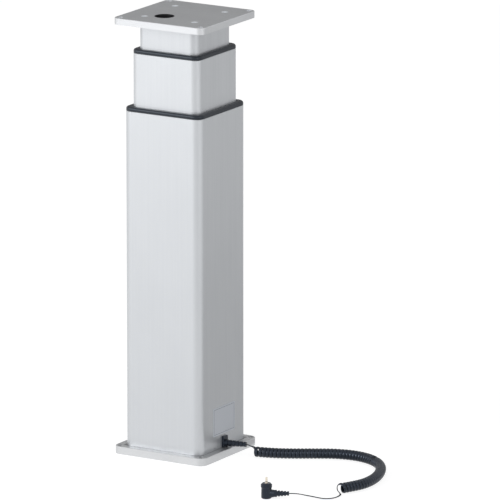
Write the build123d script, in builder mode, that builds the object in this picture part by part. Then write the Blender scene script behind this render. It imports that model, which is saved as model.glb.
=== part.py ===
"""Three-stage electric lifting column on a bolted foot, with a curly control lead.

Millimetres, +Z up. The origin is the middle of the foot plate's underside, on the floor. The broad
front face looks along -Y, and the inlet for the lead is in the +X face. The column stands a little
raised: a keyed lower screw turns inside a hollow upper screw, so that both stages rise together.
"""
import os
from math import acos, atan2, cos, degrees, pi, radians, sin, sqrt, tan

from build123d import *

os.makedirs("parts", exist_ok=True)

STANDING = (Align.CENTER, Align.CENTER, Align.MIN)
HANGING = (Align.CENTER, Align.CENTER, Align.MAX)

# ---------------------------------------------------------------- driving dimensions
# Square tubes, one inside the other
outer_side = 160.0
outer_wall = 4.0
outer_corner = 15.5
outer_port_inset = 9.5
outer_port_boss_dia = 10.4
middle_wall = 3.5
middle_corner = 14.5
middle_port_inset = 8.8
middle_port_boss_dia = 9.2
inner_wall = 3.5
inner_corner = 13.5
inner_port_inset = 9.2
inner_port_boss_dia = 14.0
tube_edge = 1.2
outer_slide_gap = 6.0
inner_slide_gap = 5.5

# How far each stage travels, how far it stands above its lowest place, and what shows of it there
stage_stroke = 300.0
stage_rise = 40.0
middle_show = 97.0
inner_show = 46.0
pad_hold = 20.0
nut_floor_gap = 3.0
screw_reserve = 22.0

# Guide frames between the tubes
ring_thick = 7.0
ring_round = 4.0
ring_gap = 0.4
ring_tab_width = 30.0
ring_tab_thick = 3.0
ring_tab_depth = 12.0

# Glide pads
pad_width = 26.0
pad_height = 64.0
pad_spread = 68.0
pad_slope = 60.0
pad_clearance = 0.3

# Foot plate and top plate
base_overhang = 15.0
base_thick = 14.0
base_corner = 15.0
top_side = 187.0
top_thick = 12.0
top_corner = 12.0
plate_edge = 0.8
base_bolt_edge = 10.0
base_bolt_dia = 9.0
top_bolt_edge = 10.5
top_bolt_dia = 8.5
cable_hole_dia = 35.0
cable_hole_x = -21.5
cable_hole_y = -33.5

# Countersunk screws: the large ones hold the plates, the middling ones the carriers, the small ones the nuts
large_screw_dia = 5.4
large_head_dia = 12.6
large_screw_length = 34.0
carrier_screw_dia = 4.4
carrier_head_dia = 10.0
carrier_screw_length = 30.0
small_screw_dia = 3.2
small_head_dia = 7.2
screw_hole_play = 1.0
screw_thread_play = 0.1
screw_head_play = 0.2
screw_socket_share = 0.38

# Gears: the motor's pinion turns the intermediate wheel, whose own pinion turns the screw's gear
gear_module = 1.25
pressure_angle = radians(20)
gear_backlash = 0.16
gear_root_depth = 1.25
flank_steps = 3
motor_pinion_teeth = 15
wheel_teeth = 32
wheel_pinion_teeth = 15
screw_gear_teeth = 38
wheel_thick = 7.0
wheel_pinion_thick = 11.0
screw_gear_thick = 9.0
gear_floor_gap = 2.0
gear_tip_gap = 2.3
gear_shaft_dia = 6.0
gear_shaft_seat = 5.0
wheel_hole_dia = 6.0
wheel_hole_count = 6

# Foot gearbox and motor
gearbox_height = 36.0
gearbox_floor_thick = 12.0
gearbox_wall = 6.5
gearbox_lid_thick = 8.0
gearbox_edge = 2.0
gearbox_screw_pitch = 30.0
gearbox_screw_length = 24.0
lid_screw_length = 18.0
lid_screw_first = -135.0
lid_screw_last = -15.0
motor_dia = 60.0
motor_height = 78.0
motor_cap_dia = 55.0
motor_cap_height = 14.0
motor_flange_thick = 5.0
motor_pilot_dia = 23.0
motor_screw_radius = 18.0
motor_screw_count = 3
motor_x = -36.0
motor_y = 36.0
motor_rim = 4.0
motor_edge = 2.0
brush_cap_dia = 9.0
brush_cap_rise = 2.5

# Lower screw, its bearing and its nut
journal_dia = 14.0
journal_seat = 8.0
thrust_bearing_dia = 32.0
thrust_bearing_height = 10.0
screw_collar_dia = 26.0
screw_collar_height = 6.0
lower_screw_dia = 20.0
keyway_width = 4.2
keyway_depth = 2.2
lower_stop_height = 6.0
stop_gap = 0.5
race_groove = 2.0
running_gap = 0.05
seat_gap = 0.3
lower_nut_flange_dia = 58.0
lower_nut_body_dia = 38.0
lower_nut_nose_dia = 34.0
lower_nut_nose = 12.0
nut_flange_thick = 8.0
nut_edge = 1.0
nut_screw_length = 17.0

# Hollow upper screw, its bearing and its nut
hollow_screw_dia = 36.0
hollow_bore_dia = 26.0
drive_bush_height = 26.0
drive_key_gap = 0.2
hollow_journal_dia = 35.0
hollow_bearing_dia = 62.0
hollow_bearing_height = 14.0
hollow_collar_dia = 42.0
hollow_collar_height = 3.5
bearing_boss_wall = 6.0
bearing_floor = 2.0
bearing_floor_dia = 30.0
bearing_cover_thick = 3.0
bearing_cover_bore_dia = 48.0
cover_edge = 0.6
upper_stop_dia = 46.0
upper_stop_height = 8.0
upper_nut_flange_dia = 66.0
upper_nut_body_dia = 50.0
upper_nut_nose = 18.0

# Carrier plates that close the feet of the two moving tubes
carrier_inset = 0.5
middle_carrier_thick = 14.0
inner_carrier_thick = 12.0
carrier_cable_dia = 24.0
carrier_cable_offset = 36.0

# Inlet in the right-hand face, with the plug of the lead in it
inlet_y = 1.6
inlet_width = 15.2
inlet_height = 20.4
inlet_block_thick = 4.0
inlet_floor_gap = 0.6
inlet_nose_width = 11.0
inlet_nose_height = 15.0
inlet_nose_length = 15.0
inlet_play = 0.2
inlet_corner = 1.4
socket_wall = 2.6
socket_back = 3.0
boot_turn = 14.0
boot_drop = 3.4
boot_length = 40.0
boot_root_dia = 13.0
boot_root_length = 6.0
boot_dia = 12.4
boot_tip_dia = 9.4
boot_ribs = 5

# Rating plate, left bare
label_width = 74.0
label_height = 52.0
label_floor = 39.0
label_thick = 0.3
label_corner = 2.0

# Control board on the inside of the right-hand wall
board_width = 62.0
board_height = 88.0
board_thick = 1.6
board_standoff = 7.0
board_floor = 50.0
standoff_dia = 6.0
standoff_inset = 5.0
board_corner = 2.0
relay_width = 16.0
relay_height = 20.0
relay_depth = 15.0
relay_pitch = 22.0
capacitor_dia = 18.0
capacitor_height = 22.0
capacitor_edge = 1.5
terminal_height = 9.0
terminal_depth = 12.0

# Curly lead
wire_dia = 3.6
coil_dia = 19.4
coil_exit_side = 4.0
boot_run = 4.6
coil_start_run = 4.6
coil_end_run = 12.0
jack_run = 10.0
first_rise = 3.2
second_rise = 5.6
floor_gap = 0.1

# Right-angle plug at the end of the lead
jack_x = 299.5
jack_y = -216.6
jack_turn = 31.0
jack_height = 28.0
jack_dia = 18.8
jack_waist_dia = 18.2
jack_collar_dia = 20.2
jack_collar_floor = 18.6
jack_collar_round = 2.2
jack_shoulder = 3.0
jack_top_dia = 14.6
jack_neck_dia = 12.8
jack_foot_round = 2.4
jack_boot_height = 8.6
jack_boot_reach = 39.8
jack_neck_length = 9.0
jack_root_dia = 16.4
jack_root_length = 9.0
jack_boot_dia = 11.8
jack_boot_tip_dia = 7.8
jack_boot_ribs = 4
pin_dia = 4.2
pin_sleeve_length = 2.6
pin_insulator_length = 0.9
pin_tip_length = 6.9
pin_tip_round = 1.0
pin_washer_dia = 5.6
pin_washer_thick = 0.8

# ---------------------------------------------------------------- derived sizes
middle_side = outer_side - 2 * (outer_wall + outer_slide_gap)
inner_side = middle_side - 2 * (middle_wall + inner_slide_gap)
base_side = outer_side + 2 * base_overhang
base_bolt_pitch = base_side - 2 * base_bolt_edge
top_bolt_pitch = top_side - 2 * top_bolt_edge
outer_port_pitch = outer_side - 2 * outer_port_inset
middle_port_pitch = middle_side - 2 * middle_port_inset
inner_port_pitch = inner_side - 2 * inner_port_inset

# Levels, from the foot up: each stage clears what stands under it at its lowest place, and its
# foot pads still lie under the pads in the mouth above them at its highest
stage_travel = stage_stroke - stage_rise
gearbox_floor = base_thick + gearbox_floor_thick
gearbox_top = base_thick + gearbox_height
lid_top = gearbox_top + gearbox_lid_thick
motor_foot = lid_top + motor_flange_thick
motor_top = motor_foot + motor_height + motor_cap_height
bearing_top = gearbox_top + thrust_bearing_height
lower_flange_floor = motor_top + nut_floor_gap + stage_rise
middle_foot = lower_flange_floor + nut_flange_thick + middle_carrier_thick
outer_top = middle_foot + stage_travel + pad_hold + 2 * pad_height
middle_top = outer_top + ring_thick + middle_show
seat_floor = middle_foot + bearing_floor
seat_top = seat_floor + hollow_bearing_height
upper_flange_floor = seat_top + bearing_cover_thick + nut_floor_gap + stage_rise
inner_foot = upper_flange_floor + nut_flange_thick + inner_carrier_thick
inner_top = middle_top + ring_thick + inner_show
hollow_foot = seat_floor + seat_gap
hollow_top = inner_foot + upper_nut_nose + stage_travel + screw_reserve
hollow_screw_length = hollow_top - hollow_foot
lower_screw_foot = bearing_top + seat_gap
lower_screw_top = hollow_foot + drive_bush_height + stage_travel + screw_reserve
lower_screw_length = lower_screw_top - lower_screw_foot
outer_height = outer_top - base_thick
middle_height = middle_top - middle_foot
inner_height = inner_top - inner_foot
inlet_z = base_thick + inlet_floor_gap + inlet_height / 2
outer_face = outer_side / 2
inner_face = outer_face - outer_wall
board_back = inner_face - board_standoff
board_front = board_back - board_thick
upward = Plane.XY
downward = Plane(origin=(0, 0, 0), z_dir=(0, 0, -1))

# Screw patterns of the nuts, midway between each nut's body and its flange's rim
lower_nut_screw_pitch = (lower_nut_flange_dia + lower_nut_body_dia) / (2 * sqrt(2))
upper_nut_screw_pitch = (upper_nut_flange_dia + upper_nut_body_dia) / (2 * sqrt(2))

# Places of the gears: the intermediate shaft lies off the line from the screw to the motor
motor_pinion_radius = gear_module * motor_pinion_teeth / 2
wheel_radius = gear_module * wheel_teeth / 2
wheel_pinion_radius = gear_module * wheel_pinion_teeth / 2
screw_gear_radius = gear_module * screw_gear_teeth / 2
motor_bearing = atan2(motor_y, motor_x)
motor_distance = sqrt(motor_x**2 + motor_y**2)
wheel_distance = screw_gear_radius + wheel_pinion_radius
motor_mesh = wheel_radius + motor_pinion_radius
wheel_bearing = motor_bearing - acos(
    (wheel_distance**2 + motor_distance**2 - motor_mesh**2) / (2 * wheel_distance * motor_distance)
)
wheel_x = wheel_distance * cos(wheel_bearing)
wheel_y = wheel_distance * sin(wheel_bearing)
motor_mesh_bearing = degrees(atan2(motor_y - wheel_y, motor_x - wheel_x))
screw_mesh_bearing = degrees(wheel_bearing)
wheel_floor = gearbox_floor + gear_floor_gap
wheel_pinion_top = wheel_floor + wheel_thick + wheel_pinion_thick
gearbox_radius = screw_gear_radius + gear_module + gear_tip_gap + gearbox_wall
wheel_bay_radius = wheel_radius + gear_module + gear_tip_gap + gearbox_wall
lid_screw_radius = gearbox_radius - gearbox_wall / 2
under_motor = Plane(origin=(motor_x, motor_y, gearbox_top), x_dir=(1, 0, 0), z_dir=(0, 0, -1))


# ---------------------------------------------------------------- shapes that come more than once
def tube_section(side, wall, corner, port_pitch, boss_dia, thread_dia):
    """The section of a square extrusion with round corners and a screw port in each."""
    RectangleRounded(side, side, corner)
    RectangleRounded(side - 2 * wall, side - 2 * wall, corner - wall, mode=Mode.SUBTRACT)
    with GridLocations(port_pitch, port_pitch, 2, 2):
        Circle(boss_dia / 2)
        Circle((thread_dia + screw_thread_play) / 2, mode=Mode.SUBTRACT)


def guide_ring(side, corner, wall, inside, inside_corner, floor):
    """The frame that caps a tube and wipes the next one, with a tab down inside each wall."""
    opening = inside + 2 * ring_gap
    with BuildPart() as ring:
        with BuildSketch(upward.offset(floor)):
            RectangleRounded(side, side, corner)
            RectangleRounded(opening, opening, inside_corner + ring_gap, mode=Mode.SUBTRACT)
        extrude(amount=ring_thick)
        fillet(ring.faces().sort_by(Axis.Z)[-1].outer_wire().edges(), ring_round)
        with BuildSketch(upward.offset(floor)):
            with PolarLocations(side / 2 - wall - ring_tab_thick / 2, 4):
                Rectangle(ring_tab_thick, ring_tab_width)
        extrude(amount=-ring_tab_depth)
    return ring


def glide_pads(face, thick, floor, inward):
    """Eight pads, two on each side of a tube, broad at the wall that holds them."""
    middle = face - thick / 2 if inward else face + thick / 2
    with BuildPart() as pads:
        with BuildSketch(upward.offset(floor)):
            with PolarLocations(middle, 4):
                with GridLocations(0, pad_spread, 1, 2):
                    Trapezoid(pad_width, thick, pad_slope, rotation=90 if inward else -90)
        extrude(amount=pad_height)
    return pads


def countersunk_screws(plane, pitch, length, dia, head_dia):
    """Four countersunk screws in a square, with heads flush in the plane and shanks behind it."""
    head_radius = head_dia / 2 - screw_head_play
    with BuildPart() as screws:
        with BuildSketch(plane.offset(-screw_head_play)):
            with GridLocations(pitch, pitch, 2, 2):
                Circle(head_radius)
        extrude(amount=-(head_radius - dia / 2), taper=45)
        with BuildSketch(plane.offset(-screw_head_play)):
            with GridLocations(pitch, pitch, 2, 2):
                Circle(dia / 2)
        extrude(amount=-length)
        with BuildSketch(plane.offset(-screw_head_play)):
            with GridLocations(pitch, pitch, 2, 2):
                RegularPolygon(screw_socket_share * dia, 6, major_radius=False)
        extrude(amount=-screw_socket_share * dia, mode=Mode.SUBTRACT)
    return screws


def involute(angle):
    """The angle that an involute has turned through where its pressure angle is this."""
    return tan(angle) - angle


def gear_section(teeth, first_tooth):
    """A spur gear's section: involute teeth on the root circle, the first centred at this bearing."""
    pitch_radius = gear_module * teeth / 2
    base_radius = pitch_radius * cos(pressure_angle)
    root_radius = pitch_radius - gear_root_depth * gear_module
    tip_radius = pitch_radius + gear_module
    foot_radius = max(base_radius, root_radius)
    half_tooth = pi / (2 * teeth) - gear_backlash / (2 * pitch_radius)
    flank = [(root_radius - gear_module / 2, half_tooth + involute(pressure_angle))]
    for step in range(flank_steps + 1):
        radius = foot_radius + (tip_radius - foot_radius) * step / flank_steps
        half_angle = half_tooth + involute(pressure_angle) - involute(acos(base_radius / radius))
        flank.append((radius, half_angle))
    left = [(radius * cos(angle), radius * sin(angle)) for radius, angle in flank]
    right = [(x, -y) for x, y in reversed(left)]
    Circle(root_radius)
    with PolarLocations(0, teeth, start_angle=first_tooth):
        Polygon(*left, *right, align=None)


def boot_outline(root_dia, root_length, dia, tip_dia, length, ribs):
    """Half the outline of a strain relief: a plain root, then ribs that shrink towards its tip."""
    pitch = (length - root_length) / ribs
    outline = [(0, 0), (0, root_dia / 2), (root_length, root_dia / 2)]
    for rib in range(ribs):
        start = root_length + rib * pitch
        groove_end = start + pitch / 3
        radius = dia / 2 + (tip_dia - dia) / 2 * (rib + 1) / ribs
        groove = radius - pitch / 6
        outline += [(start, groove), (groove_end, groove), (groove_end, radius), (start + pitch, radius)]
    return outline + [(length, 0)]


def along(turn):
    """The level direction that lies at this angle from +X."""
    return Vector(cos(radians(turn)), sin(radians(turn)), 0)


def bend_radii(points):
    """The largest arcs that the runs beside each corner of a cord allow."""
    radii = []
    for before, corner, after in zip(points, points[1:], points[2:]):
        arriving = Vector(*corner) - Vector(*before)
        leaving = Vector(*after) - Vector(*corner)
        turn = radians(arriving.get_angle(leaving))
        radii.append(0.45 * min(arriving.length, leaving.length) / tan(turn / 2))
    return radii


def cord(name, points, dia):
    """A round cord along straight runs and tangent arcs."""
    radii = bend_radii(points)
    with BuildPart() as solid:
        with BuildLine() as line:
            FilletPolyline(*points, radius=radii)
        route = line.wire()
        with BuildSketch(Plane(origin=route @ 0, z_dir=route % 0)):
            Circle(dia / 2)
        sweep(path=route)
    wanted = pi * dia**2 / 4 * route.length
    print(name, "radii", [round(radius, 1) for radius in radii])
    print(name, "length", round(route.length, 1), "volume over section by length", solid.part.volume / wanted)
    return solid


# ---------------------------------------------------------------- foot and outer tube
with BuildPart() as base_plate:
    with BuildSketch():
        RectangleRounded(base_side, base_side, base_corner)
    extrude(amount=base_thick)
    chamfer(base_plate.edges().group_by(Axis.Z)[-1], plate_edge)
    with BuildSketch():
        with GridLocations(base_bolt_pitch, base_bolt_pitch, 2, 2):
            Circle(base_bolt_dia / 2)
    extrude(amount=base_thick, mode=Mode.SUBTRACT)
    with Locations(downward):
        with GridLocations(outer_port_pitch, outer_port_pitch, 2, 2):
            CounterSinkHole((large_screw_dia + screw_hole_play) / 2, large_head_dia / 2, base_thick, 90)
        with GridLocations(gearbox_screw_pitch, gearbox_screw_pitch, 2, 2):
            CounterSinkHole((large_screw_dia + screw_hole_play) / 2, large_head_dia / 2, base_thick, 90)
base_plate.part.label = "base_plate"
export_step(base_plate.part, "parts/base_plate.step")

foot_screws = countersunk_screws(
    downward, outer_port_pitch, large_screw_length, large_screw_dia, large_head_dia
)
foot_screws.part.label = "foot_screws"
export_step(foot_screws.part, "parts/foot_screws.step")

with BuildPart() as outer_tube:
    with BuildSketch(upward.offset(base_thick)):
        tube_section(
            outer_side, outer_wall, outer_corner, outer_port_pitch, outer_port_boss_dia, large_screw_dia
        )
    extrude(amount=outer_height)
    chamfer(outer_tube.faces().sort_by(Axis.Z)[-1].outer_wire().edges(), tube_edge)
    with BuildSketch(Plane.YZ.offset(outer_face)):
        with Locations((inlet_y, inlet_z)):
            Rectangle(inlet_nose_width + 2 * inlet_play, inlet_nose_height + 2 * inlet_play)
    extrude(amount=-outer_wall, mode=Mode.SUBTRACT)
outer_tube.part.label = "outer_tube"
export_step(outer_tube.part, "parts/outer_tube.step")

outer_ring = guide_ring(outer_side, outer_corner, outer_wall, middle_side, middle_corner, outer_top)
outer_ring.part.label = "outer_ring"
export_step(outer_ring.part, "parts/outer_ring.step")

outer_glides = glide_pads(inner_face, outer_slide_gap - pad_clearance, outer_top - pad_height, True)
outer_glides.part.label = "outer_glides"
export_step(outer_glides.part, "parts/outer_glides.step")

# ---------------------------------------------------------------- gearbox and motor in the foot
def gearbox_outline(inset):
    """The gearbox's outline, this far inside its outer face: it wraps the screw, the wheel and the motor."""
    Circle(gearbox_radius - inset)
    with Locations((motor_x, motor_y)):
        Circle(motor_dia / 2 + motor_rim - inset)
    with Locations((wheel_x, wheel_y)):
        Circle(wheel_bay_radius - inset)
    make_hull()


def lid_screw_places(dia):
    """Circles on the lid's screws: three round the screw's bay, one at the wheel's bay."""
    lid_screw_turn = lid_screw_last - lid_screw_first
    with PolarLocations(lid_screw_radius, 3, lid_screw_first, lid_screw_turn, endpoint=True):
        Circle(dia / 2)
    with Locations((wheel_x, wheel_y)):
        with PolarLocations(wheel_bay_radius - gearbox_wall / 2, 1, start_angle=45):
            Circle(dia / 2)


with BuildPart() as gearbox_housing:
    with BuildSketch(upward.offset(base_thick)):
        gearbox_outline(0)
    extrude(amount=gearbox_height)
    chamfer(gearbox_housing.edges().group_by(Axis.Z)[0], gearbox_edge)
    with BuildSketch(upward.offset(gearbox_floor)):
        gearbox_outline(gearbox_wall)
    extrude(amount=gearbox_height - gearbox_floor_thick, mode=Mode.SUBTRACT)
    with BuildSketch(upward.offset(base_thick)):
        with GridLocations(gearbox_screw_pitch, gearbox_screw_pitch, 2, 2):
            Circle((large_screw_dia + screw_thread_play) / 2)
    extrude(amount=gearbox_screw_length + 2 * screw_head_play - base_thick, mode=Mode.SUBTRACT)
    with BuildSketch(upward.offset(gearbox_floor)):
        Circle(journal_dia / 2 + running_gap)
    extrude(amount=-(journal_seat + seat_gap), mode=Mode.SUBTRACT)
    with BuildSketch(upward.offset(gearbox_floor)):
        with Locations((wheel_x, wheel_y)):
            Circle(gear_shaft_dia / 2 + running_gap)
    extrude(amount=-(gear_shaft_seat + seat_gap), mode=Mode.SUBTRACT)
    with BuildSketch(upward.offset(gearbox_top)):
        lid_screw_places(small_screw_dia + screw_thread_play)
    extrude(amount=-(lid_screw_length - gearbox_lid_thick), mode=Mode.SUBTRACT)
gearbox_housing.part.label = "gearbox_housing"
export_step(gearbox_housing.part, "parts/gearbox_housing.step")

gearbox_screws = countersunk_screws(
    downward, gearbox_screw_pitch, gearbox_screw_length, large_screw_dia, large_head_dia
)
gearbox_screws.part.label = "gearbox_screws"
export_step(gearbox_screws.part, "parts/gearbox_screws.step")

with BuildPart() as gearbox_lid:
    with BuildSketch(upward.offset(gearbox_top)):
        gearbox_outline(0)
        Circle(thrust_bearing_dia / 2, mode=Mode.SUBTRACT)
        with Locations((motor_x, motor_y)):
            Circle(motor_pilot_dia / 2 + screw_head_play, mode=Mode.SUBTRACT)
    extrude(amount=gearbox_lid_thick)
    with BuildSketch(upward.offset(gearbox_top)):
        with Locations((wheel_x, wheel_y)):
            Circle(gear_shaft_dia / 2 + running_gap)
    extrude(amount=gear_shaft_seat + seat_gap, mode=Mode.SUBTRACT)
    with BuildSketch(upward.offset(lid_top)):
        lid_screw_places(small_screw_dia + screw_hole_play)
    extrude(amount=-gearbox_lid_thick, mode=Mode.SUBTRACT)
    with BuildSketch(upward.offset(lid_top)):
        lid_screw_places(small_head_dia)
    extrude(amount=-(small_head_dia - small_screw_dia) / 2, taper=45, mode=Mode.SUBTRACT)
    with Locations(Location(under_motor)):
        with PolarLocations(motor_screw_radius, motor_screw_count):
            CounterSinkHole(
                (small_screw_dia + screw_hole_play) / 2, small_head_dia / 2, gearbox_lid_thick, 90
            )
gearbox_lid.part.label = "gearbox_lid"
export_step(gearbox_lid.part, "parts/gearbox_lid.step")

with BuildPart() as lid_screws:
    with BuildSketch(upward.offset(lid_top - screw_head_play)):
        lid_screw_places(small_head_dia - 2 * screw_head_play)
    extrude(amount=-((small_head_dia - small_screw_dia) / 2 - screw_head_play), taper=45)
    with BuildSketch(upward.offset(lid_top - screw_head_play)):
        lid_screw_places(small_screw_dia)
    extrude(amount=-(lid_screw_length - seat_gap))
lid_screws.part.label = "lid_screws"
export_step(lid_screws.part, "parts/lid_screws.step")

with BuildPart() as motor_screws:
    with Locations(Location(under_motor.offset(-screw_head_play))):
        with PolarLocations(motor_screw_radius, motor_screw_count):
            Cylinder(small_screw_dia / 2, gearbox_lid_thick + motor_flange_thick - seat_gap, align=HANGING)
            Cone(
                small_screw_dia / 2,
                small_head_dia / 2 - screw_head_play,
                (small_head_dia - small_screw_dia) / 2 - screw_head_play,
                align=HANGING,
            )
motor_screws.part.label = "motor_screws"
export_step(motor_screws.part, "parts/motor_screws.step")

with BuildPart() as thrust_bearing:
    with BuildSketch(upward.offset(gearbox_top)):
        Circle(thrust_bearing_dia / 2 - running_gap)
        Circle(journal_dia / 2 + running_gap, mode=Mode.SUBTRACT)
    extrude(amount=thrust_bearing_height)
    with BuildSketch(upward.offset(bearing_top)):
        Circle((thrust_bearing_dia + journal_dia) / 4 + race_groove / 2)
        Circle((thrust_bearing_dia + journal_dia) / 4 - race_groove / 2, mode=Mode.SUBTRACT)
    extrude(amount=-race_groove, mode=Mode.SUBTRACT)
thrust_bearing.part.label = "thrust_bearing"
export_step(thrust_bearing.part, "parts/thrust_bearing.step")

with BuildPart() as motor_flange:
    with BuildSketch(Plane(origin=(motor_x, motor_y, lid_top))):
        Circle(motor_dia / 2 + motor_rim)
        with PolarLocations(motor_screw_radius, motor_screw_count):
            Circle((small_screw_dia + screw_thread_play) / 2, mode=Mode.SUBTRACT)
    extrude(amount=motor_flange_thick)
    with BuildSketch(Plane(origin=(motor_x, motor_y, lid_top))):
        Circle(motor_pilot_dia / 2)
    extrude(amount=-gearbox_lid_thick)
    with BuildSketch(Plane(origin=(motor_x, motor_y, motor_foot))):
        Circle(gear_shaft_dia / 2 + running_gap)
    extrude(amount=-(motor_flange_thick + gearbox_lid_thick), mode=Mode.SUBTRACT)
motor_flange.part.label = "motor_flange"
export_step(motor_flange.part, "parts/motor_flange.step")

with BuildPart() as motor_can:
    with Locations((motor_x, motor_y, motor_foot)):
        Cylinder(motor_dia / 2, motor_height, align=STANDING)
    fillet(motor_can.edges().group_by(Axis.Z)[-1], motor_edge)
motor_can.part.label = "motor_can"
export_step(motor_can.part, "parts/motor_can.step")

with BuildPart() as motor_cap:
    with Locations((motor_x, motor_y, motor_foot + motor_height)):
        Cylinder(motor_cap_dia / 2, motor_cap_height, align=STANDING)
    chamfer(motor_cap.edges().group_by(Axis.Z)[-1], motor_edge)
    with BuildSketch(Plane(origin=(motor_x, motor_y, motor_foot + motor_height), z_dir=along(45))):
        with Locations((0, motor_cap_height / 2)):
            Circle(brush_cap_dia / 2)
    extrude(amount=motor_cap_dia / 2 + brush_cap_rise, both=True)
motor_cap.part.label = "motor_cap"
export_step(motor_cap.part, "parts/motor_cap.step")

# ---------------------------------------------------------------- gears
with BuildPart() as motor_pinion:
    with BuildSketch(Plane(origin=(motor_x, motor_y, wheel_floor))):
        gear_section(motor_pinion_teeth, motor_mesh_bearing + 180 + 180 / motor_pinion_teeth)
    extrude(amount=wheel_thick)
    with BuildSketch(Plane(origin=(motor_x, motor_y, wheel_floor))):
        Circle(gear_shaft_dia / 2)
    extrude(amount=motor_foot - seat_gap - wheel_floor)
motor_pinion.part.label = "motor_pinion"
export_step(motor_pinion.part, "parts/motor_pinion.step")

with BuildPart() as intermediate_gear:
    with BuildSketch(Plane(origin=(wheel_x, wheel_y, wheel_floor))):
        gear_section(wheel_teeth, motor_mesh_bearing)
        with PolarLocations((wheel_radius + wheel_pinion_radius) / 2, wheel_hole_count):
            Circle(wheel_hole_dia / 2, mode=Mode.SUBTRACT)
    extrude(amount=wheel_thick)
    with BuildSketch(Plane(origin=(wheel_x, wheel_y, wheel_floor + wheel_thick))):
        gear_section(wheel_pinion_teeth, screw_mesh_bearing + 180 + 180 / wheel_pinion_teeth)
    extrude(amount=wheel_pinion_thick)
    with BuildSketch(Plane(origin=(wheel_x, wheel_y, gearbox_floor - gear_shaft_seat))):
        Circle(gear_shaft_dia / 2)
    extrude(amount=gear_shaft_seat + gearbox_top - gearbox_floor + gear_shaft_seat)
intermediate_gear.part.label = "intermediate_gear"
export_step(intermediate_gear.part, "parts/intermediate_gear.step")

with BuildPart() as screw_gear:
    with BuildSketch(upward.offset(wheel_pinion_top - screw_gear_thick)):
        gear_section(screw_gear_teeth, screw_mesh_bearing)
        Circle(journal_dia / 2, mode=Mode.SUBTRACT)
        with PolarLocations((screw_gear_radius + journal_dia / 2) / 2, wheel_hole_count):
            Circle(wheel_hole_dia / 2, mode=Mode.SUBTRACT)
    extrude(amount=screw_gear_thick)
screw_gear.part.label = "screw_gear"
export_step(screw_gear.part, "parts/screw_gear.step")

# ---------------------------------------------------------------- lower screw, which turns in the foot
with BuildPart() as lower_screw:
    with BuildSketch(upward.offset(gearbox_floor - journal_seat)):
        Circle(journal_dia / 2)
    extrude(amount=lower_screw_foot - gearbox_floor + journal_seat)
    with BuildSketch(upward.offset(lower_screw_foot)):
        Circle(screw_collar_dia / 2)
    extrude(amount=screw_collar_height)
    with BuildSketch(upward.offset(lower_screw_foot)):
        Circle(lower_screw_dia / 2)
    extrude(amount=lower_screw_length)
    with BuildSketch(upward.offset(lower_screw_foot + screw_collar_height)):
        with PolarLocations(lower_screw_dia / 2 - keyway_depth / 2, 2):
            Rectangle(keyway_depth, keyway_width)
    extrude(amount=lower_screw_length, mode=Mode.SUBTRACT)
lower_screw.part.label = "lower_screw"
export_step(lower_screw.part, "parts/lower_screw.step")

with BuildPart() as lower_stop:
    with Locations((0, 0, lower_screw_top)):
        Cylinder(hollow_bore_dia / 2 - stop_gap, lower_stop_height, align=STANDING)
    chamfer(lower_stop.edges().group_by(Axis.Z)[-1], stop_gap)
lower_stop.part.label = "lower_stop"
export_step(lower_stop.part, "parts/lower_stop.step")

# ---------------------------------------------------------------- middle stage
with BuildPart() as middle_tube:
    with BuildSketch(upward.offset(middle_foot)):
        tube_section(
            middle_side,
            middle_wall,
            middle_corner,
            middle_port_pitch,
            middle_port_boss_dia,
            carrier_screw_dia,
        )
    extrude(amount=middle_height)
    chamfer(middle_tube.faces().sort_by(Axis.Z)[-1].outer_wire().edges(), tube_edge)
middle_tube.part.label = "middle_tube"
export_step(middle_tube.part, "parts/middle_tube.step")

middle_ring = guide_ring(middle_side, middle_corner, middle_wall, inner_side, inner_corner, middle_top)
middle_ring.part.label = "middle_ring"
export_step(middle_ring.part, "parts/middle_ring.step")

middle_foot_glides = glide_pads(middle_side / 2, outer_slide_gap - pad_clearance, middle_foot, False)
middle_foot_glides.part.label = "middle_foot_glides"
export_step(middle_foot_glides.part, "parts/middle_foot_glides.step")

middle_top_glides = glide_pads(
    middle_side / 2 - middle_wall, inner_slide_gap - pad_clearance, middle_top - pad_height, True
)
middle_top_glides.part.label = "middle_top_glides"
export_step(middle_top_glides.part, "parts/middle_top_glides.step")

with BuildPart() as middle_carrier:
    with BuildSketch(upward.offset(middle_foot)):
        RectangleRounded(
            middle_side - 2 * carrier_inset, middle_side - 2 * carrier_inset, middle_corner - carrier_inset
        )
    extrude(amount=-middle_carrier_thick)
    with BuildSketch(upward.offset(middle_foot)):
        Circle(hollow_bearing_dia / 2 + bearing_boss_wall)
    extrude(amount=seat_top - middle_foot)
    with BuildSketch(upward.offset(seat_top)):
        Circle(hollow_bearing_dia / 2)
    extrude(amount=-hollow_bearing_height, mode=Mode.SUBTRACT)
    with BuildSketch(upward.offset(seat_top)):
        Circle(bearing_floor_dia / 2)
    extrude(amount=-(hollow_bearing_height + bearing_floor), mode=Mode.SUBTRACT)
    with BuildSketch(upward.offset(middle_foot)):
        Circle(lower_nut_body_dia / 2 + running_gap)
        with Locations((-carrier_cable_offset, -carrier_cable_offset)):
            Circle(carrier_cable_dia / 2)
    extrude(amount=-middle_carrier_thick, mode=Mode.SUBTRACT)
    with Locations(downward.offset(middle_carrier_thick - middle_foot)):
        with GridLocations(middle_port_pitch, middle_port_pitch, 2, 2):
            CounterSinkHole(
                (carrier_screw_dia + screw_hole_play) / 2, carrier_head_dia / 2, middle_carrier_thick, 90
            )
        with GridLocations(lower_nut_screw_pitch, lower_nut_screw_pitch, 2, 2):
            Hole((small_screw_dia + screw_thread_play) / 2, nut_screw_length - nut_flange_thick)
middle_carrier.part.label = "middle_carrier"
export_step(middle_carrier.part, "parts/middle_carrier.step")

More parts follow.
